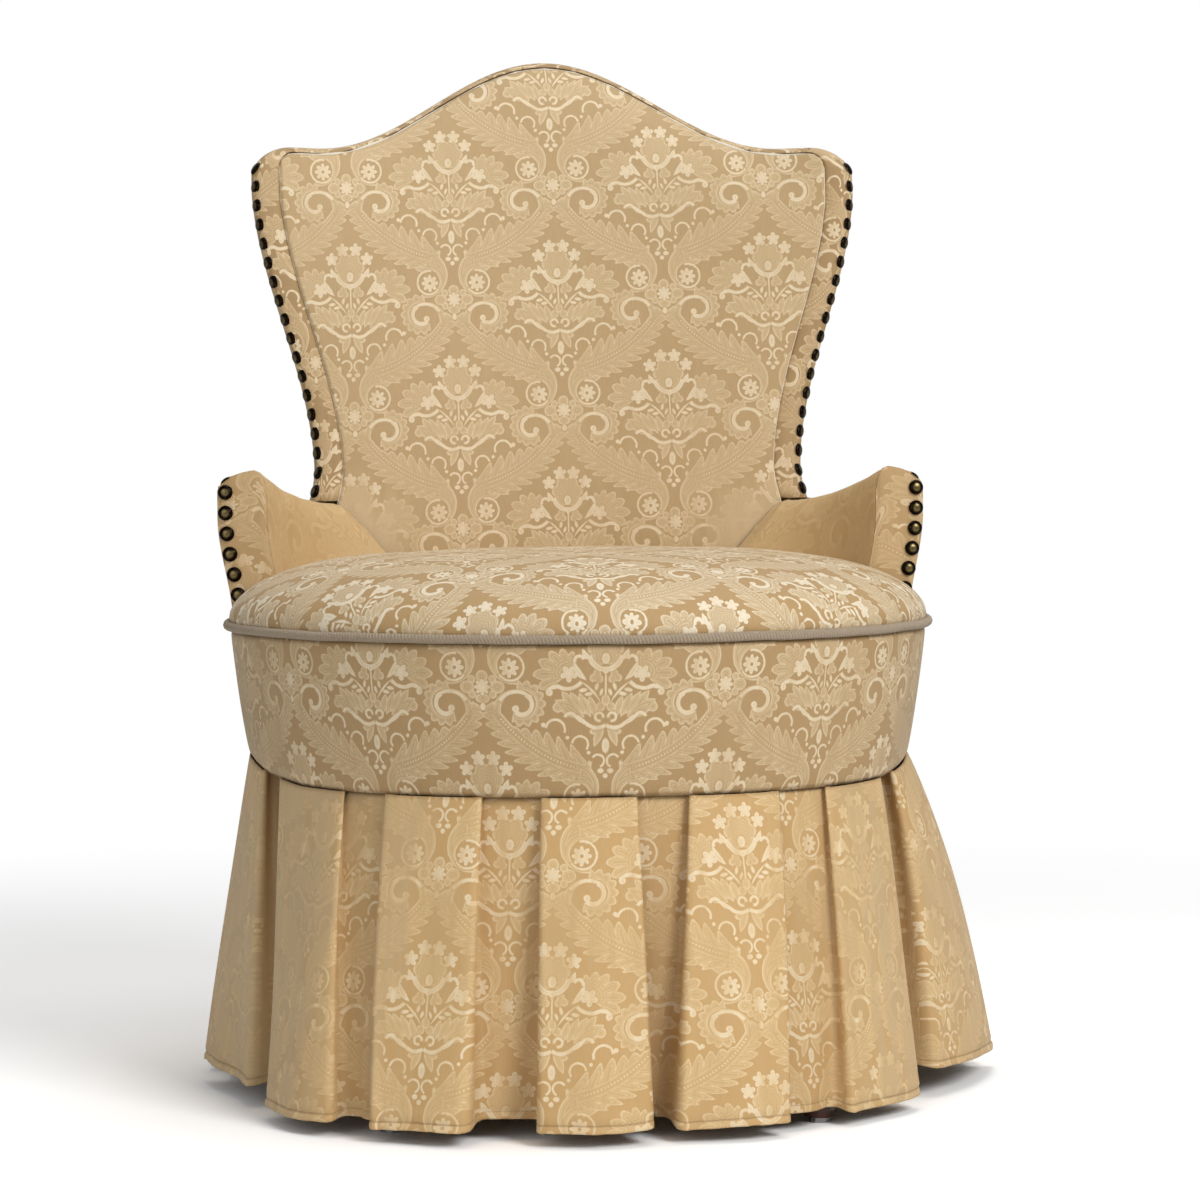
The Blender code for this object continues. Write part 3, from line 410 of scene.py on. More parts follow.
# Figures of one repeat from rosette to bouquet, right half: the quiet ones, then the bright lines on them
QUIET = {
    spot: ((0, 8.6, 5.0), (8.6, 6.2, 3.4), (8.6, -5.8, 3.4), (38.5, 88.0, 4.2), (4.2, 88.4, 3.8)),
    oval: ((12.5, 0, 6.0, 5.2), (0, -9, 6.2, 4.0), (0, 93.8, 3.6, 4.6), (9.0, 68.8, 4.2, 2.6)),
    petal: (
        (25.0, 24.5, 36.5, 29.5, 3.0, 1.5), (32.0, 29.5, 46.0, 33.0, 3.0, 1.5), (17, 80, 41.0, 94.0, 6.0),
        (22, 84, 35.5, 101.5, 3.8), (16, 82, 28.6, 100.5, 3.6), (12, 80, 21.5, 100.0, 3.6),
        (8, 80, 13.4, 97.5, 3.4), (1.0, 74.0, 9.4, 56.5, 3.4, 0.8),
    ),
    flower: ((0, 134.5, 14.5, 6, 0.2, 60), (7.2, 112.2, 6.0, 3, 0.42, 100)),
    fan: ((29.3, 114.6),),
}
BRIGHT_LINES = {
    spot: (
        (72.6, 86.8, 2.8), (0, 117.3, 2.6), (45.0, 99.8, 2.8), (31, 64, 1.5), (13.7, 52, 1.5),
        (50.4, 74.2, 1.9), (0, 33.4, 2.0),
    ),
    oval: (
        (0, -15.6, 2.1, 3.0), (0, 126.5, 3.3, 4.4), (18.2, 101.6, 3.2, 1.5, -10), (7.2, 104.4, 3.0, 1.4, 105),
        (13.6, 98.6, 3.2, 1.5, -10), (3.6, 100.0, 2.8, 1.3, 110), (0, 57.5, 3.0, 6.0), (4.0, 37.4, 2.6, 2.0),
    ),
    petal: (
        (11.5, 125.5, 18.5, 134.5, 2.2, -1.2), (4.0, 92.0, 19.5, 108.5, 0.9, 1.2),
        (32.5, 104.0, 48.0, 101.5, 1.7, 1.5), (15.2, 109.5, 25.5, 124.5, 2.4, -1.8),
        (12.0, 73.4, 27.5, 84.0, 1.9, -0.8),
    ),
    flower: (
        (0, 0, 6.6, 8, 0.4), (6.4, 151, 6.2, 5, 0.45, 90), (17.0, 142.5, 6.2, 5, 0.45, 90),
        (29.3, 114.6, 6.9, 5, 0.45, 54),
    ),
    arc: (
        (23.5, 16, 10.8, 0.9, -20, 125), (71.5, 83, 17.4, 1.4, 84, 48), (67.5, 90.5, 8.2, 1.8, 212, 100),
        (0, 131, 13.0, 2.1, -50, 42), (31, 118, 15.2, 1.5, 262, 42), (21.0, 125.0, 3.6, 1.3, 70, 95),
        (7, 84, 12.2, 1.5, -82, 42), (28.5, 79.0, 4.4, 1.4, 80, 62), (5.2, 80.4, 3.2, 1.1, 40, 150),
        (6.2, 45.4, 5.0, 0.9, 140, 108), (20.8, 58.6, 6.5, 0.9, 112, 104), (40.7, 70.6, 7.8, 1.0, 104, 96),
    ),
}


def drawn(x, y, table):
    return [figure(x, y, *sizes) for figure, rows in table.items() for sizes in rows]


def motif(x, y):
    """One repeat of the damask: quiet body and bright lines."""
    feather, rib = plume(x, y)
    cup = smallest(spot(x, y, 26.5, 23.5, 21.5), hyp(x - 24, y - 17) - 10.8, 25.0 - x * 0.8 - y * 0.1)
    ruffle = smallest(flower(x, y, 66.5, 91, 18.8, 14, 0.16), hyp(x - 66.5, y - 91) - 10.2,
                      (x - 66.5) * -0.97 - (y - 91) * 0.17 + 7.0)
    curl = smallest(spot(x, y, 72.5, 82, 20.2), hyp(x - 69.2, y - 84.8) - 15.6, x * 0.64 + y * 0.77 - 104.5)
    wheel = smallest(flower(x, y, 22.5, 15.3, 8.0, 8, 0.42), 1.5 - spot(x, y, 22.5, 15.3, 3.0))
    stalk = smallest(0.7 - absolute(x), 9.0 - absolute(y - 107))
    body = largest(feather, cup, ruffle, curl, *drawn(x, y, QUIET))
    return body, largest(rib, wheel, stalk, *drawn(x, y, BRIGHT_LINES))


def figure_group(name, results):
    """An empty node group: its tree, the place across and up the cloth, and the node for its results."""
    group = bpy.data.node_groups.new(name, "ShaderNodeTree")
    for word in ("Across", "Up"):
        group.interface.new_socket(word, in_out="INPUT", socket_type="NodeSocketFloat")
    for word in results:
        group.interface.new_socket(word, in_out="OUTPUT", socket_type="NodeSocketFloat")
    start = group.nodes.new("NodeGroupInput")
    place = [Wire(group, start.outputs[i]) for i in (0, 1)]
    return group, place, group.nodes.new("NodeGroupOutput")


def repeat_group():
    """The figures of one repeat."""
    group, (x, y), end = figure_group("damask_repeat", ("Body", "Line"))
    for place, result in enumerate(motif(x, y)):
        group.links.new(result.socket, end.inputs[place])
    return group


def damask_group():
    """How far the damask is from its ground towards its brightest thread, at a place on the cloth."""
    group, (x, y), end = figure_group("damask_figures", ("Tone",))
    repeat = repeat_group()
    wide, high, foot = REPEAT_WIDE * 1000, REPEAT_HIGH * 1000, REPEAT_FOOT * 1000
    across = absolute((x + wide / 2) % wide - wide / 2)
    found = []
    for side, up in ((across, y + foot), (wide / 2 - across, y - high / 2 + foot)):
        node = group.nodes.new("ShaderNodeGroup")
        node.node_tree = repeat
        group.links.new(side.socket, node.inputs[0])
        group.links.new((up % high - foot).socket, node.inputs[1])
        found.append((Wire(group, node.outputs[0]), Wire(group, node.outputs[1])))
    body, line = largest(found[0][0], found[1][0]), largest(found[0][1], found[1][1])
    inside = body.do("MULTIPLY_ADD", 1.25, 0.5, clamp=True)
    edge = (absolute(body - 0.9) * -1.1).do("ADD", 1.0, clamp=True)
    threads = cosine(body * 2.6) * 0.14 + 0.35
    halo = (absolute(line + 0.8) * -1.43).do("ADD", 1.0, clamp=True)
    quiet = inside * (edge * 0.55 + threads) * (halo * -0.5 + 1.0)
    core = (absolute(line - 2.2) * -1.2).do("ADD", 1.0, clamp=True) * -0.25 + 0.97
    tone = largest(quiet, line.do("MULTIPLY_ADD", 1.25, 0.5, clamp=True) * core)
    group.links.new(tone.socket, end.inputs[0])
    return group


# Materials


def linear(red, green, blue):
    """A colour in the 0 to 255 of a screen, made linear."""
    parts = [c / 255 for c in (red, green, blue)]
    return tuple(c / 12.92 if c <= 0.04045 else ((c + 0.055) / 1.055) ** 2.4 for c in parts) + (1.0,)


MILLIMETRES = (1000, 1000, 1000)


class Finish:
    """A material with the nodes that make its colour, roughness and relief."""

    def __init__(self, name, roughness, metallic=0.0, sheen=0.0, coat=0.0):
        self.material = bpy.data.materials.new(name)
        self.material.use_nodes = True
        self.tree = self.material.node_tree
        self.shader = self.tree.nodes["Principled BSDF"]
        self.shader.inputs["Roughness"].default_value = roughness
        self.shader.inputs["Metallic"].default_value = metallic
        self.shader.inputs["Sheen Weight"].default_value = sheen
        self.shader.inputs["Sheen Roughness"].default_value = 0.45
        self.shader.inputs["Coat Weight"].default_value = coat
        self.shader.inputs["Coat Roughness"].default_value = 0.25

    def node(self, kind, **settings):
        node = self.tree.nodes.new(kind)
        for key, value in settings.items():
            setattr(node, key, value)
        return node

    def link(self, out, into):
        self.tree.links.new(out, into)

    def wire(self, socket):
        return Wire(self.tree, socket)

    def attribute(self, name):
        return self.wire(self.node("ShaderNodeAttribute", attribute_name=name).outputs["Fac"])

    def split(self, place):
        """The first two numbers of a place."""
        node = self.node("ShaderNodeSeparateXYZ")
        self.link(place, node.inputs[0])
        return self.wire(node.outputs[0]), self.wire(node.outputs[1])

    def place(self, use_cloth=False, scale=(1, 1, 1)):
        """Position in metres: on the bolt of cloth, or in the chair."""
        if use_cloth:
            source = self.node("ShaderNodeUVMap", uv_map="cloth").outputs["UV"]
        else:
            source = self.node("ShaderNodeTexCoord").outputs["Object"]
        mapping = self.node("ShaderNodeMapping")
        mapping.inputs["Scale"].default_value = scale
        self.link(source, mapping.inputs["Vector"])
        return mapping.outputs["Vector"]

    def noise(self, place, scale, detail=2.0, roughness=0.5, distortion=0.0):
        node = self.node("ShaderNodeTexNoise")
        node.inputs["Scale"].default_value = scale
        node.inputs["Detail"].default_value = detail
        node.inputs["Roughness"].default_value = roughness
        node.inputs["Distortion"].default_value = distortion
        self.link(place, node.inputs["Vector"])
        return self.wire(node.outputs["Fac"])

    def blend(self, factor, first, second):
        """Colour from first to second; either may be a colour or a socket."""
        node = self.node("ShaderNodeMix", data_type="RGBA", clamp_factor=True)
        self.link(factor.socket, node.inputs[0])
        for value, socket in ((first, node.inputs[6]), (second, node.inputs[7])):
            if isinstance(value, tuple):
                socket.default_value = value
            else:
                self.link(value, socket)
        return node.outputs[2]

    def colour(self, socket):
        self.link(socket, self.shader.inputs["Base Color"])

    def relief(self, height, strength, distance):
        bump = self.node("ShaderNodeBump")
        bump.inputs["Strength"].default_value = strength
        bump.inputs["Distance"].default_value = distance
        self.link(height.socket, bump.inputs["Height"])
        self.link(bump.outputs["Normal"], self.shader.inputs["Normal"])


def damask(name, figures, ground, body, line, wear, figured=1.0, rubbed=None):
    """Woven cloth: satin ground with fine upright threads, matt figures, fine rib, worn patches, seams drawn
    darker partly as painted shade in their creases, and painted shade inside the skirt's recesses.
    """
    finish = Finish(name, 0.62, sheen=0.1)
    rubbed = linear(*rubbed) if rubbed else body
    cloth = finish.place(use_cloth=True, scale=MILLIMETRES)
    u, v = finish.split(cloth)
    stray = finish.noise(cloth, 0.3, 1.0) - 0.5
    group = finish.node("ShaderNodeGroup", node_tree=figures)
    finish.link((u + stray * 0.9).socket, group.inputs[0])
    finish.link((v + stray * 0.7).socket, group.inputs[1])
    tone = finish.wire(group.outputs[0])
    patch = finish.noise(cloth, 0.011, 3.0, 0.6)
    threads = finish.noise(finish.place(use_cloth=True, scale=(1500, 90, 1000)), 1.0, 2.0, 0.6)
    streak = finish.noise(finish.place(use_cloth=True, scale=(90, 9, 1000)), 1.0, 2.0)
    given = finish.attribute("worn")
    rub = (streak * 0.6 + patch * 0.4 + given * 0.16 - 0.46) * (given * 3 + 5)
    worn = rub.do("MULTIPLY", wear, clamp=True)
    tone = tone * (threads * 0.4 + 0.8) * figured * (1 - worn * 0.75)
    deep = tuple(c * 0.86 for c in ground[:3]) + (1.0,)
    shade = finish.blend((threads - 0.5) * 1.6 + 0.3 + patch * 0.4, deep, ground)
    shade = finish.blend(worn * (given * 0.4 + 0.3), shade, rubbed)
    colour = finish.blend(tone * 2.0, shade, body)
    colour = finish.blend(tone * 2.0 - 1.0, colour, line)
    # Seams and the hem's sewing are drawn darker, partly as painted shade in each seam's crease.
    seam = finish.attribute("seam")
    stitch_and_shade = (seam - 0.3).do("MULTIPLY", 0.85, clamp=True)
    dark = (ground[0] * 0.37, ground[1] * 0.32, ground[2] * 0.26, 1.0)
    # Painted shade inside the skirt's recesses blends towards dark, as the seams' darkening does.
    finish.colour(finish.blend(largest(stitch_and_shade, finish.attribute("painted_recess_shade") * 0.62), colour, dark))
    weave = sine(u * 5.2) * 0.5 + sine(v * 7.5) * 0.5
    pucker = finish.noise(finish.place(use_cloth=True, scale=(240, 60, 1000)), 1.0, 1.0)
    finish.relief(weave * 0.3 + threads * 0.9 + seam * pucker * 14.0, 0.35, 0.0004)
    return finish.material


def plain_cloth(name, dark, light, rib, relief):
    """Plain woven cloth with crossing threads."""
    finish = Finish(name, 0.85, sheen=0.1)
    place = finish.place(scale=MILLIMETRES)
    x, y = finish.split(place)
    threads = sine(x * rib) * 0.5 + sine(y * rib) * 0.5
    mottle = finish.noise(place, 0.08, 3.0)
    finish.colour(finish.blend(threads * 0.2 + mottle, dark, light))
    finish.relief(threads + mottle, relief, 0.0006)
    return finish.material


def cord_cloth():
    """Ribbed cover of the piping: slanting threads round the cord."""
    finish = Finish("cord_cloth", 0.85, sheen=0.15)
    place = finish.place(use_cloth=True, scale=MILLIMETRES)
    along, round_it = finish.split(place)
    mottle = finish.noise(place, 0.5, 4.0, 0.7)
    ribs = sine(along * 2.1 + round_it * 0.8 + mottle * 5.0) * 0.5 + 0.5
    finish.colour(finish.blend(ribs * 0.25 + mottle * 0.75, linear(116, 98, 78), linear(196, 178, 152)))
    finish.relief(ribs * 0.5 + mottle * 2.0, 0.7, 0.0007)
    return finish.material


def wood(name, dark, light, roughness, coat=0.0):
    """Wood with upright grain and open pores."""
    finish = Finish(name, roughness, coat=coat)
    rings = finish.noise(finish.place(scale=(18, 18, 3.0)), 2.5, 5.0, distortion=1.4)
    pores = finish.noise(finish.place(scale=(900, 900, 40)), 1.0, 2.0)
    finish.colour(finish.blend(rings * 1.4 - 0.2, dark, light))
    finish.relief(rings + pores * 0.5, 0.2, 0.0008)
    return finish.material


def nail_brass():
    """Antiqued brass: dark rims, darkened further as painted shade for heads seen from the side, and a rubbed
    ring round a darker crown, the ring partly a painted highlight.
    """
    finish = Finish("nail_brass", 0.3, metallic=1.0)
    crown = finish.attribute("crown")
    mottle = finish.noise(finish.place(), 420, 3.0)
    # The bright ring is partly rubbed brass and partly a painted highlight; the dark rims are partly
    # antiquing and partly painted shade.
    ring = crown * (1.35 - crown) * 2.0
    rubbed = (ring + (mottle - 0.5) * 0.6).do("MULTIPLY", 1.0, clamp=True)
    finish.colour(finish.blend(rubbed, linear(25, 18, 14), linear(130, 114, 76)))
    finish.relief(mottle, 0.12, 0.0004)
    return finish.material


def felt(name, colour, light):
    """Felted stuffing with loose lint."""
    finish = Finish(name, 0.95)
    lint = finish.noise(finish.place(), 300, 4.0)
    finish.colour(finish.blend(lint, colour, light))
    finish.relief(lint, 0.5, 0.001)
    return finish.material


def steel(name, tint):
    """Drawn steel with fine lines."""
    finish = Finish(name, 0.35, metallic=1.0)
    lines = finish.noise(finish.place(scale=(1, 1, 60)), 60, 2.0)
    finish.colour(finish.blend(lines, tuple(c * 0.6 for c in tint[:3]) + (1.0,), tint))
    finish.relief(lines, 0.05, 0.0003)
    return finish.material


# Making cloth and padding


def finish_piece(name, bm, material, thick=0.0):
    """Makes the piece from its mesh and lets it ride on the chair."""
    mesh = bpy.data.meshes.new(name)
    bm.to_mesh(mesh)
    bm.free()
    mesh.materials.append(material)
    mesh.shade_smooth()
    piece = bpy.data.objects.new(name, mesh)
    bpy.context.scene.collection.objects.link(piece)
    if thick:
        shell = piece.modifiers.new("Thickness", "SOLIDIFY")
        shell.thickness = thick
        shell.offset = -1.0
        shell.use_even_offset = False
    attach(piece, "root")
    return piece


def cloth_grid(columns, rows, place, pattern, shut=False, seam=None, worn=None, painted_recess_shade=None):
    """A sheet whose points are placed one by one.

    pattern gives each point's place on the bolt, seam how deep it lies in a sewn line, which is drawn darker
    partly as painted shade in the seam's crease, worn its wear, and the recess shade how dark it is painted
    as shade inside a fold."""
    bm = bmesh.new()
    bmesh.ops.create_grid(bm, x_segments=columns, y_segments=rows, size=0.5)
    uv = bm.loops.layers.uv.new("cloth")
    depth = bm.verts.layers.float.new("seam")
    rub = bm.verts.layers.float.new("worn")
    recess_shade_layer = bm.verts.layers.float.new("painted_recess_shade")
    spots = {vert: (vert.co.x + 0.5, vert.co.y + 0.5) for vert in bm.verts}
    for face in bm.faces:
        for loop in face.loops:
            loop[uv].uv = pattern(*spots[loop.vert])
    for vert, (u, v) in spots.items():
        vert.co = place(u, v)
        vert[depth] = seam(u, v) if seam else 0.0
        vert[rub] = worn(u, v) if worn else 0.0
        vert[recess_shade_layer] = painted_recess_shade(u, v) if painted_recess_shade else 0.0
    if shut:
        bmesh.ops.remove_doubles(bm, verts=bm.verts, dist=0.00002)
    bmesh.ops.recalc_face_normals(bm, faces=bm.faces)
    return bm


def face_towards(bm, middle):
    """Turns an open sheet so that its faces look away from the point given for each of them."""
    votes = 0.0
    for face in bm.faces:
        centre = face.calc_center_median()
        votes += face.normal.dot(centre - middle(centre)) * face.calc_area()
    if votes < 0:
        bmesh.ops.reverse_faces(bm, faces=bm.faces)


# Ground, figures and brightest thread of the damask on each cover, and how it is worn
BRIGHT = (230, 211, 178)
DAMASKS = {
    "seat": ((188, 153, 102), (215, 194, 158), (238, 224, 198), {"wear": 0.15}),
    "band": ((184, 150, 102), (208, 182, 140), BRIGHT, {"wear": 0.5, "rubbed": (176, 154, 118)}),
    "back": ((192, 161, 114), (208, 182, 140), BRIGHT, {"wear": 0.35}),
    "skirt": ((212, 171, 112), (224, 193, 142), (240, 220, 184), {"wear": 0.7, "rubbed": (200, 177, 138)}),
    "arm": ((204, 170, 118), (210, 180, 132), BRIGHT, {"wear": 1.0, "figured": 0.5}),
    # The border's ground is darker than the back's partly as painted shade, for its sides that turn away from
    # the light.
    "border": ((174, 142, 96), (206, 178, 134), BRIGHT, {"wear": 0.5}),
    "facing": ((190, 155, 105), (206, 176, 130), BRIGHT, {"wear": 0.8, "figured": 0.8}),
}


def make_material_set():
    figures = damask_group()
    covers = {
        name: damask(name + "_damask", figures, linear(*ground), linear(*body), linear(*line), **state)
        for name, (ground, body, line, state) in DAMASKS.items()
    }
    return covers | {
        "cord": cord_cloth(),
        "frame_wood": wood("frame_wood", linear(150, 108, 66), linear(196, 156, 106), 0.6),
        "leg_wood": wood("leg_wood", linear(52, 24, 14), linear(92, 46, 26), 0.35, coat=0.3),
        "stuffing": felt("stuffing", linear(214, 204, 182), linear(236, 230, 214)),
        "hessian": plain_cloth("hessian", linear(128, 98, 60), linear(176, 144, 98), 2.4, 0.9),
        "webbing": plain_cloth("webbing", linear(120, 100, 68), linear(170, 146, 106), 1.7, 0.7),
        "dust_cloth": plain_cloth("dust_cloth", linear(22, 22, 24), linear(48, 48, 50), 4.0, 0.4),
        "spring_steel": steel("spring_steel", linear(176, 176, 172)),
        "glide_steel": steel("glide_steel", linear(190, 190, 188)),
        "brass": nail_brass(),
    }


def cover(name, bm, material, nodes, rests_on, thick=0.0012):
    """A sheet of cloth that stands for its solid."""
    area = sum(face.calc_area() for face in bm.faces)
    piece = finish_piece(name, bm, material, thick)
    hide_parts(*nodes)
    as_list(rests_on)
    return piece


# Seat


def pad_reach(angle):
    """Outline of the seat pad: full in front of the facings, inside the arms and the back behind them."""
    turn = abs(angle)
    if turn < FACING_ANGLE - FACING_ROOM:
        return SEAT_RADIUS
    s, c = math.sin(math.radians(turn)), -math.cos(math.radians(turn))
    arm = SEAT_RADIUS - ARM_THICK - FIT
    if turn > ARM_END_ANGLE:
        arm *= math.sin(math.radians(ARM_END_ANGLE)) / max(s, 0.1)
    limit = BACK_FOOT_Y - PAD_EDGE - 0.004
    bend = s * s / (2 * BACK_CURVE)
    tilt = REAR_SQUASH * c
    back = limit / tilt if bend < 1e-6 else (-tilt + math.sqrt(tilt * tilt + 4 * bend * limit)) / (2 * bend)
    return min(arm, back)


CROWN_EDGE = PIPING_Z + PIPING_RADIUS + GAP + CLOTH
CROWN_STEPS = 200
# Share of the crown's reach from which the figures' place is measured at the front
CROWN_FRONT = 0.9916


def crown_height(share):
    return CROWN_EDGE + (CROWN_Z - CROWN_EDGE) * (1 - min(share, 1.0) ** 4) ** 0.54


def crown_lengths():
    """Lengths along the crown from its middle to even shares of its reach."""
    lengths = [0.0]
    for i in range(CROWN_STEPS):
        rise = crown_height((i + 1) / CROWN_STEPS) - crown_height(i / CROWN_STEPS)
        lengths.append(lengths[-1] + math.hypot(SEAT_RADIUS / CROWN_STEPS, rise))
    return lengths


def spread_angles():
    """Columns of the seat cover, closest where it steps in behind the facings."""
    front = FACING_ANGLE - FACING_ROOM
    sides = [mix(-front + 0.05, front - 0.05, i / 120) for i in range(121)]
    turn = [front + 0.35, 99, 101, 104, 108, 113, 119, 124, ARM_END_ANGLE]
    turn += [130.5, 131.7, 134, 138, 143, 148, 154, 160, 167, 174]
    return [-180] + [-a for a in reversed(turn)] + sides + turn + [180]


def seat_cover(material):
    angles = spread_angles()
    lengths = crown_lengths()
    shares = [1 - (1 - i / 30) ** 1.7 for i in range(31)] + [1.0, 1.0]
    tucks = [(0.0, 0.0)] * 31 + [(0.0016, 0.004), (0.003, 0.010)]
    across, beyond = CROWN_FIGURES
    rosette = curve_at([(i / CROWN_STEPS, s) for i, s in enumerate(lengths)], CROWN_FRONT) + beyond

    def place(u, v):
        angle = angles[round(u * (len(angles) - 1))]
        row = round(v * (len(shares) - 1))
        share, (tuck, drop) = shares[row], tucks[row]
        point = around(angle, share * pad_reach(angle) - tuck, crown_height(share) - drop)
        rim = smooth((share - 0.86) / 0.1) * (1 - smooth((share - 0.985) / 0.015))
        pucker = grain(angle / 2.3, share * 3, 1.7) * 0.0009 * rim
        soft = grain(point.x, point.y, 0.4, 0.09) * 0.0012 * (1 - share ** 6)
        return point + Vector((0, 0, pucker + soft))

    def pattern(u, v):
        angle = math.radians(angles[round(u * (len(angles) - 1))])
        share = shares[round(v * (len(shares) - 1))]
        reach = pad_reach(math.degrees(angle)) / SEAT_RADIUS
        far = lengths[round(share * CROWN_STEPS)] * reach
        return far * math.sin(angle) + across, -far * math.cos(angle) + rosette

    bm = cloth_grid(len(angles) - 1, len(shares) - 1, place, pattern, shut=True)
    cover("seat_top", bm, material, ["seat_cover"], ["seat_stuffing"])


def seat_band(material):
    limit = FACING_ANGLE - FACING_ROOM
    high = PIPING_Z - PIPING_RADIUS - GAP
    across, up = BAND_FIGURES

    def place(u, v):
        angle = mix(-limit, limit, u)
        z = mix(seam_z(angle), high, v)
        near_seam = math.exp(-v / 0.06) + math.exp(-(1 - v) / 0.05)
        pull = 0.0008 * near_seam * (0.6 + 0.8 * grain(angle / 1.6, v * 2, 5.0))
        wave = 0.0009 * grain(angle / 16, v * 1.2, 9.0)
        tuck = 0.0022 * math.exp(-v / 0.012) + 0.0012 * math.exp(-(1 - v) / 0.02)
        return around(angle, drum_radius(z) + wave - pull - tuck, z)

    def pattern(u, v):
        angle = mix(-limit, limit, u)
        return SEAT_RADIUS * math.radians(angle) + across, mix(seam_z(angle), high, v) + up

    # Darker at the seam under the band and under the piping, partly as painted shade in those creases.
    def seam(u, v):
        return 0.8 * math.exp(-v / 0.012) + 0.5 * math.exp(-(1 - v) / 0.03)

    def worn(u, v):
        return smooth((abs(2 * u - 1) - 0.5) / 0.3)

    bm = cloth_grid(300, 24, place, pattern, seam=seam, worn=worn)
    face_towards(bm, lambda p: Vector((0, SEAT_Y, p.z)))
    cover("seat_band_cloth", bm, material, ["seat_band"], ["seat_rail_front"])


def piping(material):
    limit = FACING_ANGLE - FACING_ROOM
    length = 2 * math.radians(limit) * SEAT_RADIUS

    def place(u, v):
        angle = mix(-limit, limit, u)
        t = math.tau * v
        end = min(u, 1 - u) * CORD_RIBS
        rib = 0.00022 * math.sin(math.tau * CORD_RIBS * u + t)
        radius = (PIPING_RADIUS + rib + 0.0001 * grain(angle * 2, 0, 3.0)) * min(end, 1.0) ** 0.5
        sag = 0.0009 * grain(angle / 9, 0, 7.0)
        centre = SEAT_RADIUS + 0.0012 + 0.0004 * grain(angle / 6, 4.0)
        return around(angle, centre + radius * math.cos(t), PIPING_Z + sag + radius * math.sin(t))

    bm = cloth_grid(4 * CORD_RIBS, 10, place, lambda u, v: (u * length, v * 0.0236), shut=True)
    piece = finish_piece("piping", bm, material)
    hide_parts("piping_cord")


# Skirt

# Even place of a pleat's edge, then its angle at the seam and at the hem
PLEAT_EDGES = (
    (-180.0, -180.0, -180.0), (-122.6, -122.6, -122.0), (-95.3, -95.3, -95.0), (-77.6, -75.7, -68.0),
    (-67.6, -68.0, -59.0), (-49.9, -48.0, -40.5), (-39.9, -39.0, -34.0), (-22.2, -21.0, -20.0),
    (-12.3, -11.3, -11.2), (5.5, 4.6, 5.3), (15.4, 13.3, 8.5), (33.2, 30.4, 25.0),
    (43.1, 40.9, 36.0), (60.8, 59.5, 55.0), (70.8, 66.5, 64.0), (88.5, 86.0, 93.0),
    (115.0, 114.0, 116.0), (180.0, 180.0, 180.0),
)
# Sideways and depth at the seam, then at the hem, of the folds under a panel's edge
FOLD = (
    (-0.0040, 0.0000, -0.0050, 0.0000), (-0.0012, 0.0003, -0.0028, 0.0006),
    (0.0000, 0.0013, 0.0000, 0.0030), (-0.0012, 0.0024, 0.0002, 0.0070),
    (-0.0050, 0.0030, -0.0005, 0.0115), (-0.0085, 0.0038, -0.0005, 0.0160),
    (-0.0090, 0.0052, 0.0014, 0.0196), (-0.0060, 0.0064, 0.0050, 0.0209),
    (-0.0020, 0.0068, 0.0090, 0.0210),
)
# Where the figures' middle lies on each panel and in each recess at the front: angle, half a repeat or none
PANEL_FIGURES = {-2: (-50.5, 1), -1: (-27.2, 0), 0: (-9.1, 0), 1: (21.5, 1), 2: (27.5, 0)}
RECESS_FIGURES = {-2: (-27.2, 0), -1: (-16.5, 1), 0: (21.5, 1), 1: (31.9, 0)}


def panel_figures(number):
    """Where the figures lie on a panel; away from the front they wander a little."""
    wander = PLEAT_OFFSET + number * PLEAT_PITCH + 9 * math.sin(number * 2.4)
    return PANEL_FIGURES.get(number, (wander, number % 2))


def pleat_columns():
    """Columns of the skirt: even place, sideways and depth at seam and hem, figures, shade at both."""
    columns = []
    for number in range(-(PLEATS // 2), PLEATS // 2 + 1):
        start = PLEAT_OFFSET + (number - PANEL_SHARE / 2) * PLEAT_PITCH
        end = start + PANEL_SHARE * PLEAT_PITCH
        following = start + PLEAT_PITCH
        high, deep = DEEP_RECESS.get(number, (1.0, 1.0))
        shade = RECESS_SHADE.get(number, (0.2, 0.2))
        side, back, hem_side, hem_back = FOLD[-1]
        panel = panel_figures(number)
        recess = RECESS_FIGURES.get(number, (end + 5, (number + 1) % 2))
        for i in range(1, 14):
            columns.append((mix(start, end, i / 14), 0.0, 0.0, 0.0, 0.0, panel, (0.0, 0.0)))
        folds = [(fold, tuple(s * fold[3] / hem_back for s in shade)) for fold in FOLD]
        for i, ((w0, d0, w1, d1), dark) in enumerate(folds):
            columns.append((end, w0, d0 * high, w1, d1 * deep, panel if i < 4 else recess, dark))
        for i in range(1, 6):
            turn, share = mix(end, following, i / 6), 1 - i / 3
            seam_place, hem_place = (side * share, back * high), (hem_side * share, hem_back * deep)
            columns.append((turn, *seam_place, *hem_place, recess, shade))
        for i, ((w0, d0, w1, d1), dark) in enumerate(reversed(folds)):
            figures = recess if i < 5 else panel_figures(number + 1)
            columns.append((following, -w0, d0 * high, -w1, d1 * deep, figures, dark))
    columns.append(columns[0])
    return columns


# How far the hem stands out at each angle
HEM_REACH = (
    (-180, 0.337), (-122, 0.336), (-95, 0.326), (-78, 0.304), (-62, 0.312), (-45, 0.348),
    (-33, 0.341), (-22, 0.346), (-11, 0.326), (-3, 0.337), (7, 0.325), (15, 0.327),
    (24, 0.342), (36, 0.327), (46, 0.328), (56, 0.318), (66, 0.318), (80, 0.345),
    (93, 0.368), (116, 0.352), (150, 0.340), (180, 0.337),
)
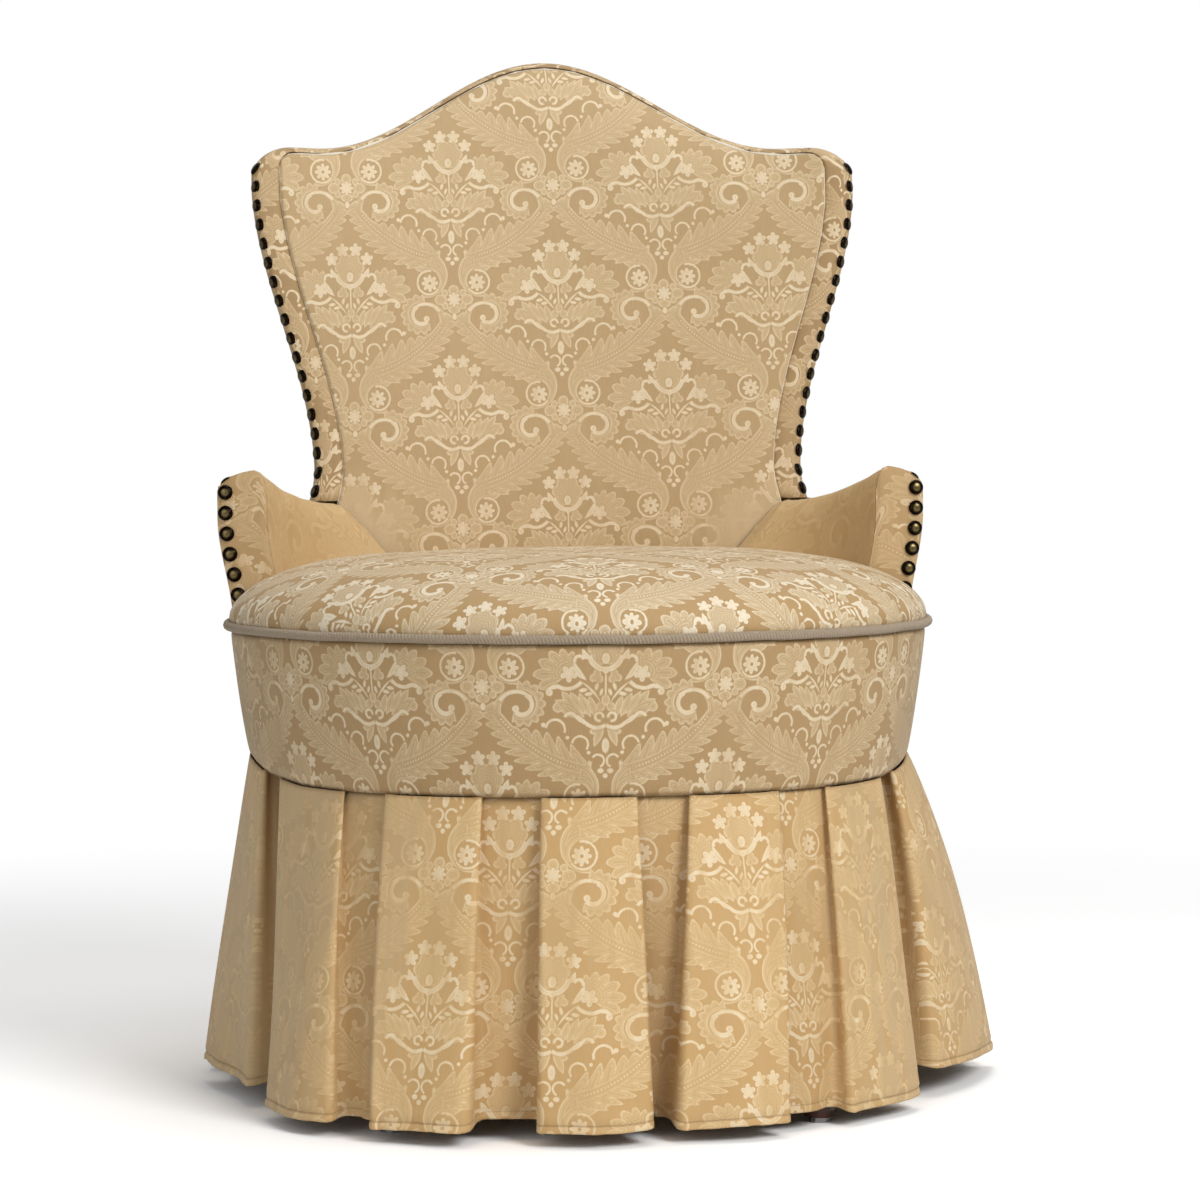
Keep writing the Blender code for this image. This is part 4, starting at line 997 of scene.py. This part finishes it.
# Wear at each angle
SKIRT_WEAR = (
    (-180, 0.2), (-110, 0.6), (-70, 1.0), (-50, 0.9), (-42, 0.3), (-34, 0.7), (-26, 0.1),
    (30, 0.0), (40, 0.5), (50, 0.8), (58, 0.2), (75, 0.6), (110, 0.6), (180, 0.2),
)
# How high the hem hangs above its lowest line at each angle
HEM_LIFT = (
    (-180, 0.004), (-95, 0.008), (-68, 0.006), (-58, 0.0), (56, 0.0),
    (63, 0.013), (80, 0.010), (95, 0.004), (180, 0.004),
)
# How far the cloth swells over its middle at each angle
SWELL = ((-180, 0.0), (50, 0.0), (85, 0.0085), (110, 0.007), (150, 0.0), (180, 0.0))
# How much deeper than the others a recess is at the seam and at the hem
DEEP_RECESS = {-3: (2.0, 1.6), -1: (1.2, 1.75), 0: (1.2, 1.75), 2: (2.2, 1.8)}
# How dark the cloth inside a recess is painted as shade, at the seam and at the hem
RECESS_SHADE = {
    -3: (1.0, 0.35), -2: (0.2, 0.3), -1: (0.15, 0.35), 0: (0.25, 1.0), 1: (0.1, 0.3), 2: (1.0, 0.8),
}


def hem_radius(angle):
    return sum(curve_at(HEM_REACH, min(max(angle + step, -180), 180)) for step in (-4, 0, 4)) / 3


def skirt(material):
    columns = pleat_columns()
    falls = [(i / 56) ** 0.9 for i in range(55)] + [0.9745, 0.9785, 0.9825, 0.989, 0.995, 1.0]
    seam_turn = [(n, s) for n, s, h in PLEAT_EDGES]
    hem_turn = [(n, h) for n, s, h in PLEAT_EDGES]

    def spot(u, v):
        nominal, w0, d0, w1, d1, figures, dark = columns[round(u * (len(columns) - 1))]
        nominal = (nominal + 180) % 360 - 180
        fall = falls[round((1 - v) * (len(falls) - 1))]
        drop = fall ** 1.1
        angle = mix(curve_at(seam_turn, nominal), curve_at(hem_turn, nominal), fall)
        depth = mix(d0, d1, fall)
        top = seam_z(angle)
        swell = curve_at(SWELL, angle) * math.sin(math.pi * fall)
        radius = mix(drum_radius(top) - GAP, hem_radius(angle), fall) + swell - depth
        wave = 0.0060 * grain(nominal / 9, drop * 1.1, 2.0) + 0.0045 * grain(nominal / 21, drop * 0.8, 8.0)
        radius += wave * fall
        hem_line = math.exp(-((drop - 0.975) / 0.004) ** 2)
        pucker = 0.0015 * grain(nominal * 1.3, drop * 40, 4.0) * smooth((drop - 0.93) / 0.04)
        radius += pucker - 0.0012 * hem_line
        angle += math.degrees(mix(w0, w1, fall) / radius)
        lift = d1 / FOLD[-1][3] * 0.0030
        ragged = 0.0016 * grain(nominal / 11, 3.0, 5.0) + 0.0007 * grain(nominal * 1.1, 1.0, 6.0)
        z = mix(top - GAP, HEM_Z + curve_at(HEM_LIFT, angle) + lift + ragged, drop)
        return angle, radius, z, figures, mix(*dark, fall)

    def place(u, v):
        angle, radius, z, figures, dark = spot(u, v)
        return around(angle, radius, z)

    def pattern(u, v):
        """Measured from the middle of the panel's figures, whose rows stand half a repeat apart."""
        angle, radius, z, (axis, half), dark = spot(u, v)
        turn = (angle - axis + 180) % 360 - 180
        return radius * math.radians(turn) + half * REPEAT_WIDE / 2, z + SKIRT_FIGURES

    # Darker along the hem's sewing and under the band where the skirt is sewn on, partly as painted shade in
    # that crease.
    def seam(u, v):
        fall = falls[round((1 - v) * (len(falls) - 1))]
        stitches = max(0.9 - abs(fall - 0.9785) * 150, 0.3 * smooth((fall - 0.94) / 0.02))
        return max(stitches, 0.7 * math.exp(-fall / 0.008))

    def worn(u, v):
        angle = spot(u, v)[0]
        return curve_at(SKIRT_WEAR, min(max(angle, -180), 180))

    # Painted shade inside the recesses, darkest where the folds lie deepest.
    def painted_recess_shade(u, v):
        return spot(u, v)[4]

    bm = cloth_grid(len(columns) - 1, len(falls) - 1, place, pattern, shut=True, seam=seam, worn=worn,
                    painted_recess_shade=painted_recess_shade)
    face_towards(bm, lambda p: Vector((0, SEAT_Y, p.z)))
    cover("skirt", bm, material, ["pleated_skirt"], ["seat_band_cloth"])


# Back


def inside_back(material):

    def spot(u, v):
        side = math.sin((u - 0.5) * math.pi)
        side = mix(side, 2 * u - 1, 0.45)
        rise = 0.5 - 0.5 * math.cos(v * math.pi)
        rise = mix(rise, v, 0.5)
        return side, rise

    def place(u, v):
        side, rise = spot(u, v)
        top = seam_top(side * (EAR_HALF - BORDER_WIDTH)) - GAP
        z = mix(BACK_BOTTOM_Z, top, rise)
        x = side * (side_half(max(z, WAIST_Z)) - BORDER_WIDTH - GAP)
        bulge = max((1 - abs(side) ** 3.5) * (1 - abs(2 * rise - 1) ** 7), 0.0)
        edge = min((1 - abs(side)) / 0.012, (1 - rise) / 0.012, 1.0)
        depth = PAD_EDGE + PAD_CROWN * bulge - 0.003 * (1 - edge) ** 2 - 0.0075 * (1 - edge) ** 12
        soft = 0.0014 * grain(x, z, 0.3, 0.10) * min(bulge * 2, 1.0)
        return Vector((x, back_y(x, z) - depth - soft, z))

    def pattern(u, v):
        """The cloth leans a little and is eased in towards the sides."""
        point = place(u, v)
        across = point.x - 0.0205 * (CREST_Z - point.z)
        return across * (1.03 + 0.35 * across * across), point.z + BACK_FIGURES - 0.025 * point.x

    # Darker where the cloth turns in at its sides and top, partly as painted shade in that crease.
    def stitched_and_shaded(u, v):
        side, rise = spot(u, v)
        return max(0.65 - (1 - abs(side)) / 0.018, 0.95 - (1 - rise) / 0.014, 0.0)

    def worn(u, v):
        side, rise = spot(u, v)
        return 1.6 * smooth((abs(side) - 0.5) / 0.35) * smooth((0.32 - rise) / 0.16)

    bm = cloth_grid(88, 96, place, pattern, seam=stitched_and_shaded, worn=worn)
    face_towards(bm, lambda p: Vector((p.x, 1.0, p.z)))
    rests_on = ["inside_back_stuffing"]
    cover("inside_back", bm, material, ["inside_back_cover"], rests_on)


# Steps of the border's outline up the side, round the ear and over the crest; smooth cloth has more to each
SIDE_STEPS, EAR_STEPS, CREST_STEPS = 11, 5, 14
CLOTH_STEPS = 4


def outline_frames(fine=CLOTH_STEPS):
    """Pairs of outline and seam points, from the waist up the side and over the ear to the crest's centre."""
    corner = crest_height(EAR_HALF)
    seam_x = EAR_HALF - BORDER_WIDTH
    pairs = []
    low = WAIST_Z + 0.002
    for i in range(SIDE_STEPS * fine):
        z = mix(low, corner, i / (SIDE_STEPS * fine))
        pairs.append(((side_half(z), z), (side_half(z) - BORDER_WIDTH, z)))
    for i in range(EAR_STEPS * fine + 1):
        turn = i / (EAR_STEPS * fine) * math.pi / 2
        x = EAR_FLAT + (EAR_HALF - EAR_FLAT) * math.cos(turn)
        sx = seam_x - SEAM_ROUND + SEAM_ROUND * math.cos(turn)
        pairs.append(((x, crest_height(x)), (sx, seam_top(sx))))
    for i in range(1, CREST_STEPS * fine + 1):
        share = 1 - i / (CREST_STEPS * fine)
        x, sx = EAR_FLAT * share, (seam_x - SEAM_ROUND) * share
        pairs.append(((x, crest_height(x)), (sx, seam_top(sx))))
    return [(Vector(p), Vector(q)) for p, q in pairs]


# Section of a border, from the seam over the corner that carries the nails to the back:
# share of its width inward from the outline, then how far behind the middle of the frame
BORDER_ACROSS = (
    (1.10, -0.0024), (1.0, -0.0056), (0.90, -0.0060), (0.70, -0.0046), (0.45, -0.0018),
    (0.28, 0.0002), (0.19, 0.0018), (0.10, 0.0050), (0.03, 0.0084),
    (0.0, 0.0120), (0.0, 0.0170), (0.0, 0.0225), (0.0, 0.0273),
)


def border(name, node, frames, material):
    """One strip of the border; frames give outline, seam and side."""
    rows = len(BORDER_ACROSS) - 1

    def place(u, v):
        outline, seam, side = frames[round(u * (len(frames) - 1))]
        share, depth = BORDER_ACROSS[round(v * rows)]
        p = outline + (seam - outline) * share
        narrow = min((seam - outline).length / BORDER_WIDTH, 1.0)
        if depth < 0.012:
            depth = mix(0.010, depth, mix(0.55, 1.0, narrow))
        return Vector((side * p.x, back_y(p.x, p.y) + depth, p.y))

    def pattern(u, v):
        outline, seam, side = frames[round(u * (len(frames) - 1))]
        share, depth = BORDER_ACROSS[round(v * rows)]
        spot = outline + (seam - outline) * share + (outline - seam).normalized() * max(depth + 0.004, 0.0)
        return side * spot.x + BORDER_FIGURES[0], spot.y + BORDER_FIGURES[1]

    # Darker along its seam with the inside back, partly as painted shade in the crease.
    def stitched_and_shaded(u, v):
        return max(0.8 - v * rows * 0.45, 0.0)

    bm = cloth_grid(len(frames) - 1, rows, place, pattern, seam=stitched_and_shaded)
    face_towards(bm, lambda p: Vector((p.x * 0.8, 0.27 + SEAT_Y, 0.64)))
    length = sum((a[0] - b[0]).length for a, b in zip(frames, frames[1:]))
    cover(name, bm, material, [node], ["crest_rail"])


def borders(material):
    frames = outline_frames()
    turn = (SIDE_STEPS + EAR_STEPS) * CLOTH_STEPS
    for side, word in SIDES:
        strip = [(p, q, side) for p, q in frames[:turn + 1]]
        border("border_" + word, "back_border_" + word, strip, material)
    strip = [(p, q, -1) for p, q in frames[turn:]] + [(p, q, 1) for p, q in reversed(frames[turn:-1])]
    border("border_crest", "back_border_crest", strip, material)


def outside_point(u, z):
    """A point on the front face of the outside cover at a share of its half width."""
    if z > WAIST_Z:
        x = u * side_half(z)
        return Vector((x, back_y(x, z) + COVER_BACK, z))
    join = drum_radius(z) * math.sin(math.radians(WAIST_ANGLE))
    x = u * mix(join, side_half(WAIST_Z), smooth((z - PIPING_Z) / (WAIST_Z - PIPING_Z)))
    round_y = SEAT_Y + REAR_SQUASH * math.sqrt(drum_radius(z) ** 2 - x * x) - CLOTH
    blend = smooth((z - RAIL_TOP - FIT) / (0.43 - RAIL_TOP))
    return Vector((x, mix(round_y, back_y(x, z) + COVER_BACK, blend), z))


def outside_back(material):

    def place(u, v):
        side = 2 * u - 1
        side = mix(side, math.sin(side * math.pi / 2), 0.6)
        low = seam_z(180) + GAP
        top = crest_height(side * EAR_HALF) - GAP
        point = outside_point(side, mix(low, top, v))
        edge = min((1 - abs(side)) * 12, (1 - v) * 20, 1.0)
        swell = 0.0018 * (1 - side ** 4) * math.sin(math.pi * v) + 0.001 * grain(point.x, point.z, 6.0, 0.08)
        return point + Vector((0, CLOTH + swell - 0.0012 * (1 - edge) ** 2, 0))

    def pattern(u, v):
        point = place(u, v)
        return point.x, point.z + BACK_FIGURES

    bm = cloth_grid(70, 90, place, pattern)
    face_towards(bm, lambda p: Vector((p.x, 0.0, p.z)))
    cover("outside_back", bm, material, ["outside_back_cover"], ["crest_rail"])


# Arms


def arm_profile(angle, share):
    """Radius and height at a share of the way from the inner side's foot over the top to the outer side."""
    top = arm_top(angle)
    foot = RAIL_TOP + GAP
    low = top - ARM_ROLL[0][1]
    if share < 0.5:
        z = mix(foot, low, share / 0.5)
        return arm_inner(angle, z), z
    over = (share - 0.5) / 0.5
    over = mix(over, 0.5 - 0.5 * math.cos(math.pi * over), 0.6)
    start, end = arm_inner(angle, low), arm_outer(angle, low) - CLOTH - GAP
    return mix(start, end, over * 0.97), top - curve_at(ARM_ROLL, over * 0.97)


# Degrees by which the inside and the outside arm cover run on beyond the arm's end
INNER_BEYOND = 6
OUTER_BEYOND = 8


def on_side(point, side):
    """The point itself on the right, its mirror image on the left."""
    return Vector((side * point.x, point.y, point.z))


def arm_cover_point(angle, share, side):
    """A point of the inside arm cover; past the arm's end it runs back to the front of the back."""
    if angle <= ARM_END_ANGLE:
        radius, z = arm_profile(angle, share)
        return on_side(around(angle, radius, z), side)
    radius, z = arm_profile(ARM_END_ANGLE, share)
    start = around(ARM_END_ANGLE, radius, z)
    inner = around(ARM_END_ANGLE, SEAT_RADIUS - ARM_THICK, 0).x
    depth = mix(-0.0115, 0.002, (start.x - inner) / (side_half(WAIST_Z) - inner))
    end = Vector((start.x, back_y(start.x, z) + depth, z))
    return on_side(start.lerp(end, (angle - ARM_END_ANGLE) / INNER_BEYOND), side)


def arm_side_point(angle, z, side):
    """A point of the outside arm cover, on to the outside back."""
    if angle <= ARM_END_ANGLE:
        point = around(angle, arm_outer(angle, z), z)
    else:
        start = around(ARM_END_ANGLE, arm_outer(ARM_END_ANGLE, z), z)
        lean = 1 - smooth((z - PIPING_Z) / (WAIST_Z - PIPING_Z))
        end = outside_point(1, z) + Vector((2 * FIT * lean, -2 * FIT, 0))
        point = start.lerp(end, (angle - ARM_END_ANGLE) / OUTER_BEYOND)
    return on_side(point, side)


def inside_arm(side, word, material):

    def turn(u):
        return mix(COVER_START, ARM_END_ANGLE + INNER_BEYOND, u)

    def place(u, v):
        angle = turn(u)
        point = arm_cover_point(angle, v, side)
        dent = 0.0011 * grain(angle / 5, v * 6, side * 3.0) * math.sin(math.pi * min(v * 1.2, 1.0))
        sweep = 0.072 * smooth((angle - 104) / 32) ** 2 * smooth((0.68 - v) / 0.5)
        return point + Vector((-side * sweep, 0, dent))

    def pattern(u, v):
        return side * 0.27 * math.radians(turn(u)), v * 0.21

    bm = cloth_grid(60, 48, place, pattern)
    face_towards(bm, lambda p: around(side * 113, SEAT_RADIUS - 0.02, 0.44))
    nodes, rests_on = ["inside_arm_cover_" + word], ["arm_stuffing_" + word]
    cover("inside_arm_" + word, bm, material, nodes, rests_on)


def outside_arm(side, word, material):
    across, up = ARM_FIGURES

    def turn(u):
        return mix(COVER_START, ARM_END_ANGLE + OUTER_BEYOND, u)

    def place(u, v):
        angle = turn(u)
        top = arm_top(min(angle, ARM_END_ANGLE)) - 0.013
        if angle > ARM_END_ANGLE + 0.3:
            top = WAIST_Z + 0.0017
        return arm_side_point(angle, mix(seam_z(angle) + GAP, top, v), side)

    def pattern(u, v):
        return side * SEAT_RADIUS * math.radians(turn(u)) + across, mix(SEAM_Z, 0.51, v) + up

    bm = cloth_grid(64, 44, place, pattern)
    face_towards(bm, lambda p: Vector((0, SEAT_Y, p.z)))
    nodes, rests_on = ["outside_arm_cover_" + word], ["seat_rail_" + word]
    cover("outside_arm_" + word, bm, material, nodes, rests_on)


def facing(side, word, material):
    across, up = FACING_FIGURES

    def place(u, v):
        over = 0.5 - 0.5 * math.cos(math.pi * u)
        top = arm_top(FACING_ANGLE) - curve_at(ARM_ROLL, over * 0.999)
        z = mix(RAIL_TOP + GAP, top, v ** 0.8)
        low = min(z, arm_top(FACING_ANGLE) - ARM_ROLL[0][1])
        radius = mix(arm_inner(FACING_ANGLE, low), arm_outer(FACING_ANGLE, low), over)
        rim = min(over, 1 - over, (1 - v) * 1.6) / 0.12
        plump = Vector((0, 0.0016 * smooth(rim), 0))
        return on_side(around(FACING_ANGLE + 0.35, radius, z), side) - plump

    def pattern(u, v):
        return side * u * ARM_THICK + across, v * 0.18 + up

    # Darker at both sides where it is sewn to the arm covers, partly as painted shade in those creases.
    def stitched_and_shaded(u, v):
        return 0.85 * max(1 - u / 0.09, 1 - (1 - u) / 0.06, 0.0)

    bm = cloth_grid(24, 48, place, pattern, seam=stitched_and_shaded)
    face_towards(bm, lambda p: Vector((p.x, 1.0, p.z)))
    nodes, rests_on = ["arm_facing_" + word], ["arm_post_" + word]
    cover("facing_" + word, bm, material, nodes, rests_on, thick=0.003)


def arms(cover_cloth, facing_cloth):
    for side, word in SIDES:
        inside_arm(side, word, cover_cloth)
        outside_arm(side, word, cover_cloth)
        facing(side, word, facing_cloth)


# Nails


def spaced(points, pitch):
    """Points at an even pitch along a polyline, with their directions."""
    found, left = [], pitch / 2
    for a, b in zip(points, points[1:]):
        length = (b - a).length
        while left <= length:
            found.append((a.lerp(b, left / length), (b - a).normalized()))
            left += pitch
        left -= length
    return found


def nail_row(name, node, path, normals, material):
    """Domed heads set edge to edge in a slightly uneven row."""
    bm = bmesh.new()
    crown = bm.verts.layers.float.new("crown")
    for number, (spot, along) in enumerate(spaced(path, NAIL_PITCH)):
        nearest = min(range(len(path)), key=lambda k: (path[k] - spot).length)
        up = (normals[nearest] - along * normals[nearest].dot(along)).normalized()
        lean = Vector((grain(number, 1.3), grain(number, 4.1), grain(number, 7.7))) * 0.12
        up = (up + lean).normalized()
        turn = up.to_track_quat("Z", "Y").to_matrix().to_4x4()
        head = bmesh.ops.create_uvsphere(bm, u_segments=20, v_segments=14, radius=1.0)["verts"]
        under = [v for v in head if v.co.z < -0.01]
        bmesh.ops.delete(bm, geom=under, context="VERTS")
        head = [v for v in head if v.is_valid]
        for vert in head:
            # crown rises only near the top of the dome, so the sides stay dark: partly antiqued rims, partly
            # painted shade.
            vert[crown] = smooth((vert.co.z - 0.87) / 0.09)
            wide = NAIL_RADIUS * (1.0 + 0.03 * (1.0 - vert.co.z))
            vert.co.z = vert.co.z ** 0.9 * NAIL_HEIGHT - NAIL_SINK
            vert.co.x *= wide
            vert.co.y *= wide
        bmesh.ops.transform(bm, matrix=Matrix.Translation(spot) @ turn, verts=head)
    piece = finish_piece(name, bm, material)
    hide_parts(node)


def back_nails(side, word, material):
    slope = Vector((0.009, 0.005)).normalized()
    path, normals = [], []
    for outline, seam in outline_frames(1)[:14]:
        out = (outline - seam).normalized()
        normal = Vector((side * out.x * slope.x, -slope.y, out.y * slope.x)).normalized()
        spot = outline - out * 0.0045
        base = Vector((side * spot.x, back_y(spot.x, spot.y) + 0.0055, spot.y))
        path.append(base + normal * (4 * GAP))
        normals.append(normal)
    nail_row("nails_back_" + word, "back_nails_" + word, path, normals, material)


def arm_nails(side, word, material):
    """From the nail that lies on the arm's top down the outer edge of the facing."""
    turn = math.radians(FACING_ANGLE)
    normal = Vector((-side * REAR_SQUASH * math.cos(turn), -math.sin(turn), 0)).normalized()
    path, normals = [], []
    roll = curve_at(ARM_ROLL, 1 - NAIL_EDGE / ARM_THICK)
    for angle in (FACING_ANGLE + 3.1, FACING_ANGLE):
        z = arm_top(angle) - roll
        path.append(on_side(around(angle, arm_outer(angle, z) - NAIL_EDGE, z - 0.0006), side))
        normals.append(Vector((side * 0.57, 0, 0.82)))
    for i in range(7):
        z = mix(arm_top(FACING_ANGLE) - 0.010, CROWN_Z - 0.045, i / 6)
        edge = around(FACING_ANGLE, arm_outer(FACING_ANGLE, z) - NAIL_EDGE, z)
        path.append(on_side(edge, side) + normal * (5 * GAP))
        normals.append(normal)
    nail_row("nails_arm_" + word, "arm_nails_" + word, path, normals, material)


def nails(material):
    for side, word in SIDES:
        back_nails(side, word, material)
        arm_nails(side, word, material)


# Underside


WEBBING = 0.0015
LEG_ANGLES = (36.5, 143.5, 216.5, 323.5)


def dust_cover(material):
    """Black cloth tacked under the frame below the crossed webbing, cut in at the legs."""
    top = SEAM_Z + 0.004 - 2 * WEBBING - GAP

    def reach(angle):
        near = min(abs((angle - leg + 180) % 360 - 180) for leg in LEG_ANGLES)
        return mix(0.214, 0.248, smooth((near - 7.5) / 1.5))

    def place(u, v):
        angle = 360 * u
        sag = 0.004 * (1 - v * v) + 0.0006 * grain(angle / 20, v * 3, 1.0)
        return around(angle, reach(angle) * v, top - 0.0009 - sag)

    def pattern(u, v):
        point = place(u, v)
        return point.x, point.y

    bm = cloth_grid(160, 16, place, pattern, shut=True)
    face_towards(bm, lambda p: Vector((p.x, p.y, 1.0)))
    cover("dust_cloth", bm, material, ["dust_cover"], ["seat_rail_front"],
          thick=0.0006)


# Solids that stay as they are

# The starts of their names, by finish
KEPT = {
    "frame_wood": (
        "seat_rail_", "back_post_", "crest_rail", "middle_rail", "stay_rail", "arm_post_", "arm_rail_",
    ),
    "leg_wood": ("leg_",),
    "webbing": ("seat_webbing_", "back_webbing"),
    "hessian": ("spring_hessian",),
    "spring_steel": ("seat_spring_",),
    "glide_steel": ("glide_",),
    "stuffing": ("seat_stuffing", "inside_back_stuffing", "arm_stuffing_"),
}


def finish_kept(finishes):
    for name, node in frame["nodes"].items():
        for finish, starts in KEPT.items():
            if name.startswith(starts):
                node.data.materials.clear()
                node.data.materials.append(finishes[finish])


# Studio


def lamp(name, place, aim, size, power):
    light = bpy.data.lights.new(name, "AREA")
    light.shape = "DISK"
    light.size = size
    light.energy = power
    lamp_object = bpy.data.objects.new(name, light)
    bpy.context.scene.collection.objects.link(lamp_object)
    direction = Vector(aim) - Vector(place)
    turn = direction.to_track_quat("-Z", "Y").to_matrix().to_4x4()
    lamp_object.matrix_world = Matrix.Translation(Vector(place)) @ turn


def floor():
    """A pale floor that takes the chair's shadow and turns plain white away from it."""
    bm = bmesh.new()
    bmesh.ops.create_grid(bm, x_segments=1, y_segments=1, size=60)
    mesh = bpy.data.meshes.new("floor")
    bm.to_mesh(mesh)
    bm.free()
    finish = Finish("floor", 0.9)
    x, y = finish.split(finish.place())
    away = hyp(x, y - 0.1)
    seen = finish.wire(finish.node("ShaderNodeLightPath").outputs["Is Camera Ray"])
    pale = finish.node("ShaderNodeBsdfDiffuse")
    finish.link(finish.blend(seen, (0.8, 0.8, 0.8, 1.0), (1.35, 1.35, 1.35, 1.0)), pale.inputs["Color"])
    white = finish.node("ShaderNodeEmission")
    white.inputs["Strength"].default_value = 1.0
    blend = finish.node("ShaderNodeMixShader")
    far = ((away - 0.7) * 0.8).do("MULTIPLY", 1.0, clamp=True)
    finish.link((far * far * (3 - far * 2) * seen).socket, blend.inputs[0])
    finish.link(pale.outputs[0], blend.inputs[1])
    finish.link(white.outputs[0], blend.inputs[2])
    output = finish.tree.nodes["Material Output"]
    finish.link(blend.outputs[0], output.inputs["Surface"])
    mesh.materials.append(finish.material)
    plane = bpy.data.objects.new("floor", mesh)
    bpy.context.scene.collection.objects.link(plane)


def world():
    sky = bpy.data.worlds.new("studio")
    sky.use_nodes = True
    nodes, links = sky.node_tree.nodes, sky.node_tree.links
    background = nodes["Background"]
    background.inputs["Color"].default_value = (1.0, 1.0, 1.0, 1.0)
    path = nodes.new("ShaderNodeLightPath")
    both = nodes.new("ShaderNodeMath")
    both.operation = "MAXIMUM"
    links.new(path.outputs["Is Camera Ray"], both.inputs[0])
    links.new(path.outputs["Is Transmission Ray"], both.inputs[1])
    level = nodes.new("ShaderNodeMapRange")
    links.new(both.outputs[0], level.inputs["Value"])
    level.inputs["To Min"].default_value = 0.34
    level.inputs["To Max"].default_value = 1.0
    links.new(level.outputs["Result"], background.inputs["Strength"])
    bpy.context.scene.world = sky
    bpy.context.scene.view_settings.view_transform = "Standard"


set_camera()
finishes = make_material_set()
seat_cover(finishes["seat"])
seat_band(finishes["band"])
piping(finishes["cord"])
skirt(finishes["skirt"])
inside_back(finishes["back"])
borders(finishes["border"])
outside_back(finishes["back"])
arms(finishes["arm"], finishes["facing"])
nails(finishes["brass"])
dust_cover(finishes["dust_cloth"])
finish_kept(finishes)
floor()
world()
lamp("key", (1.7, -2.7, 2.3), (0, 0, 0.5), 1.7, 72)
lamp("fill", (-1.8, -3.0, 1.2), (0, 0, 0.5), 2.2, 14)
lamp("top", (0.3, 0.3, 3.2), (0, 0, 0.4), 2.0, 28)
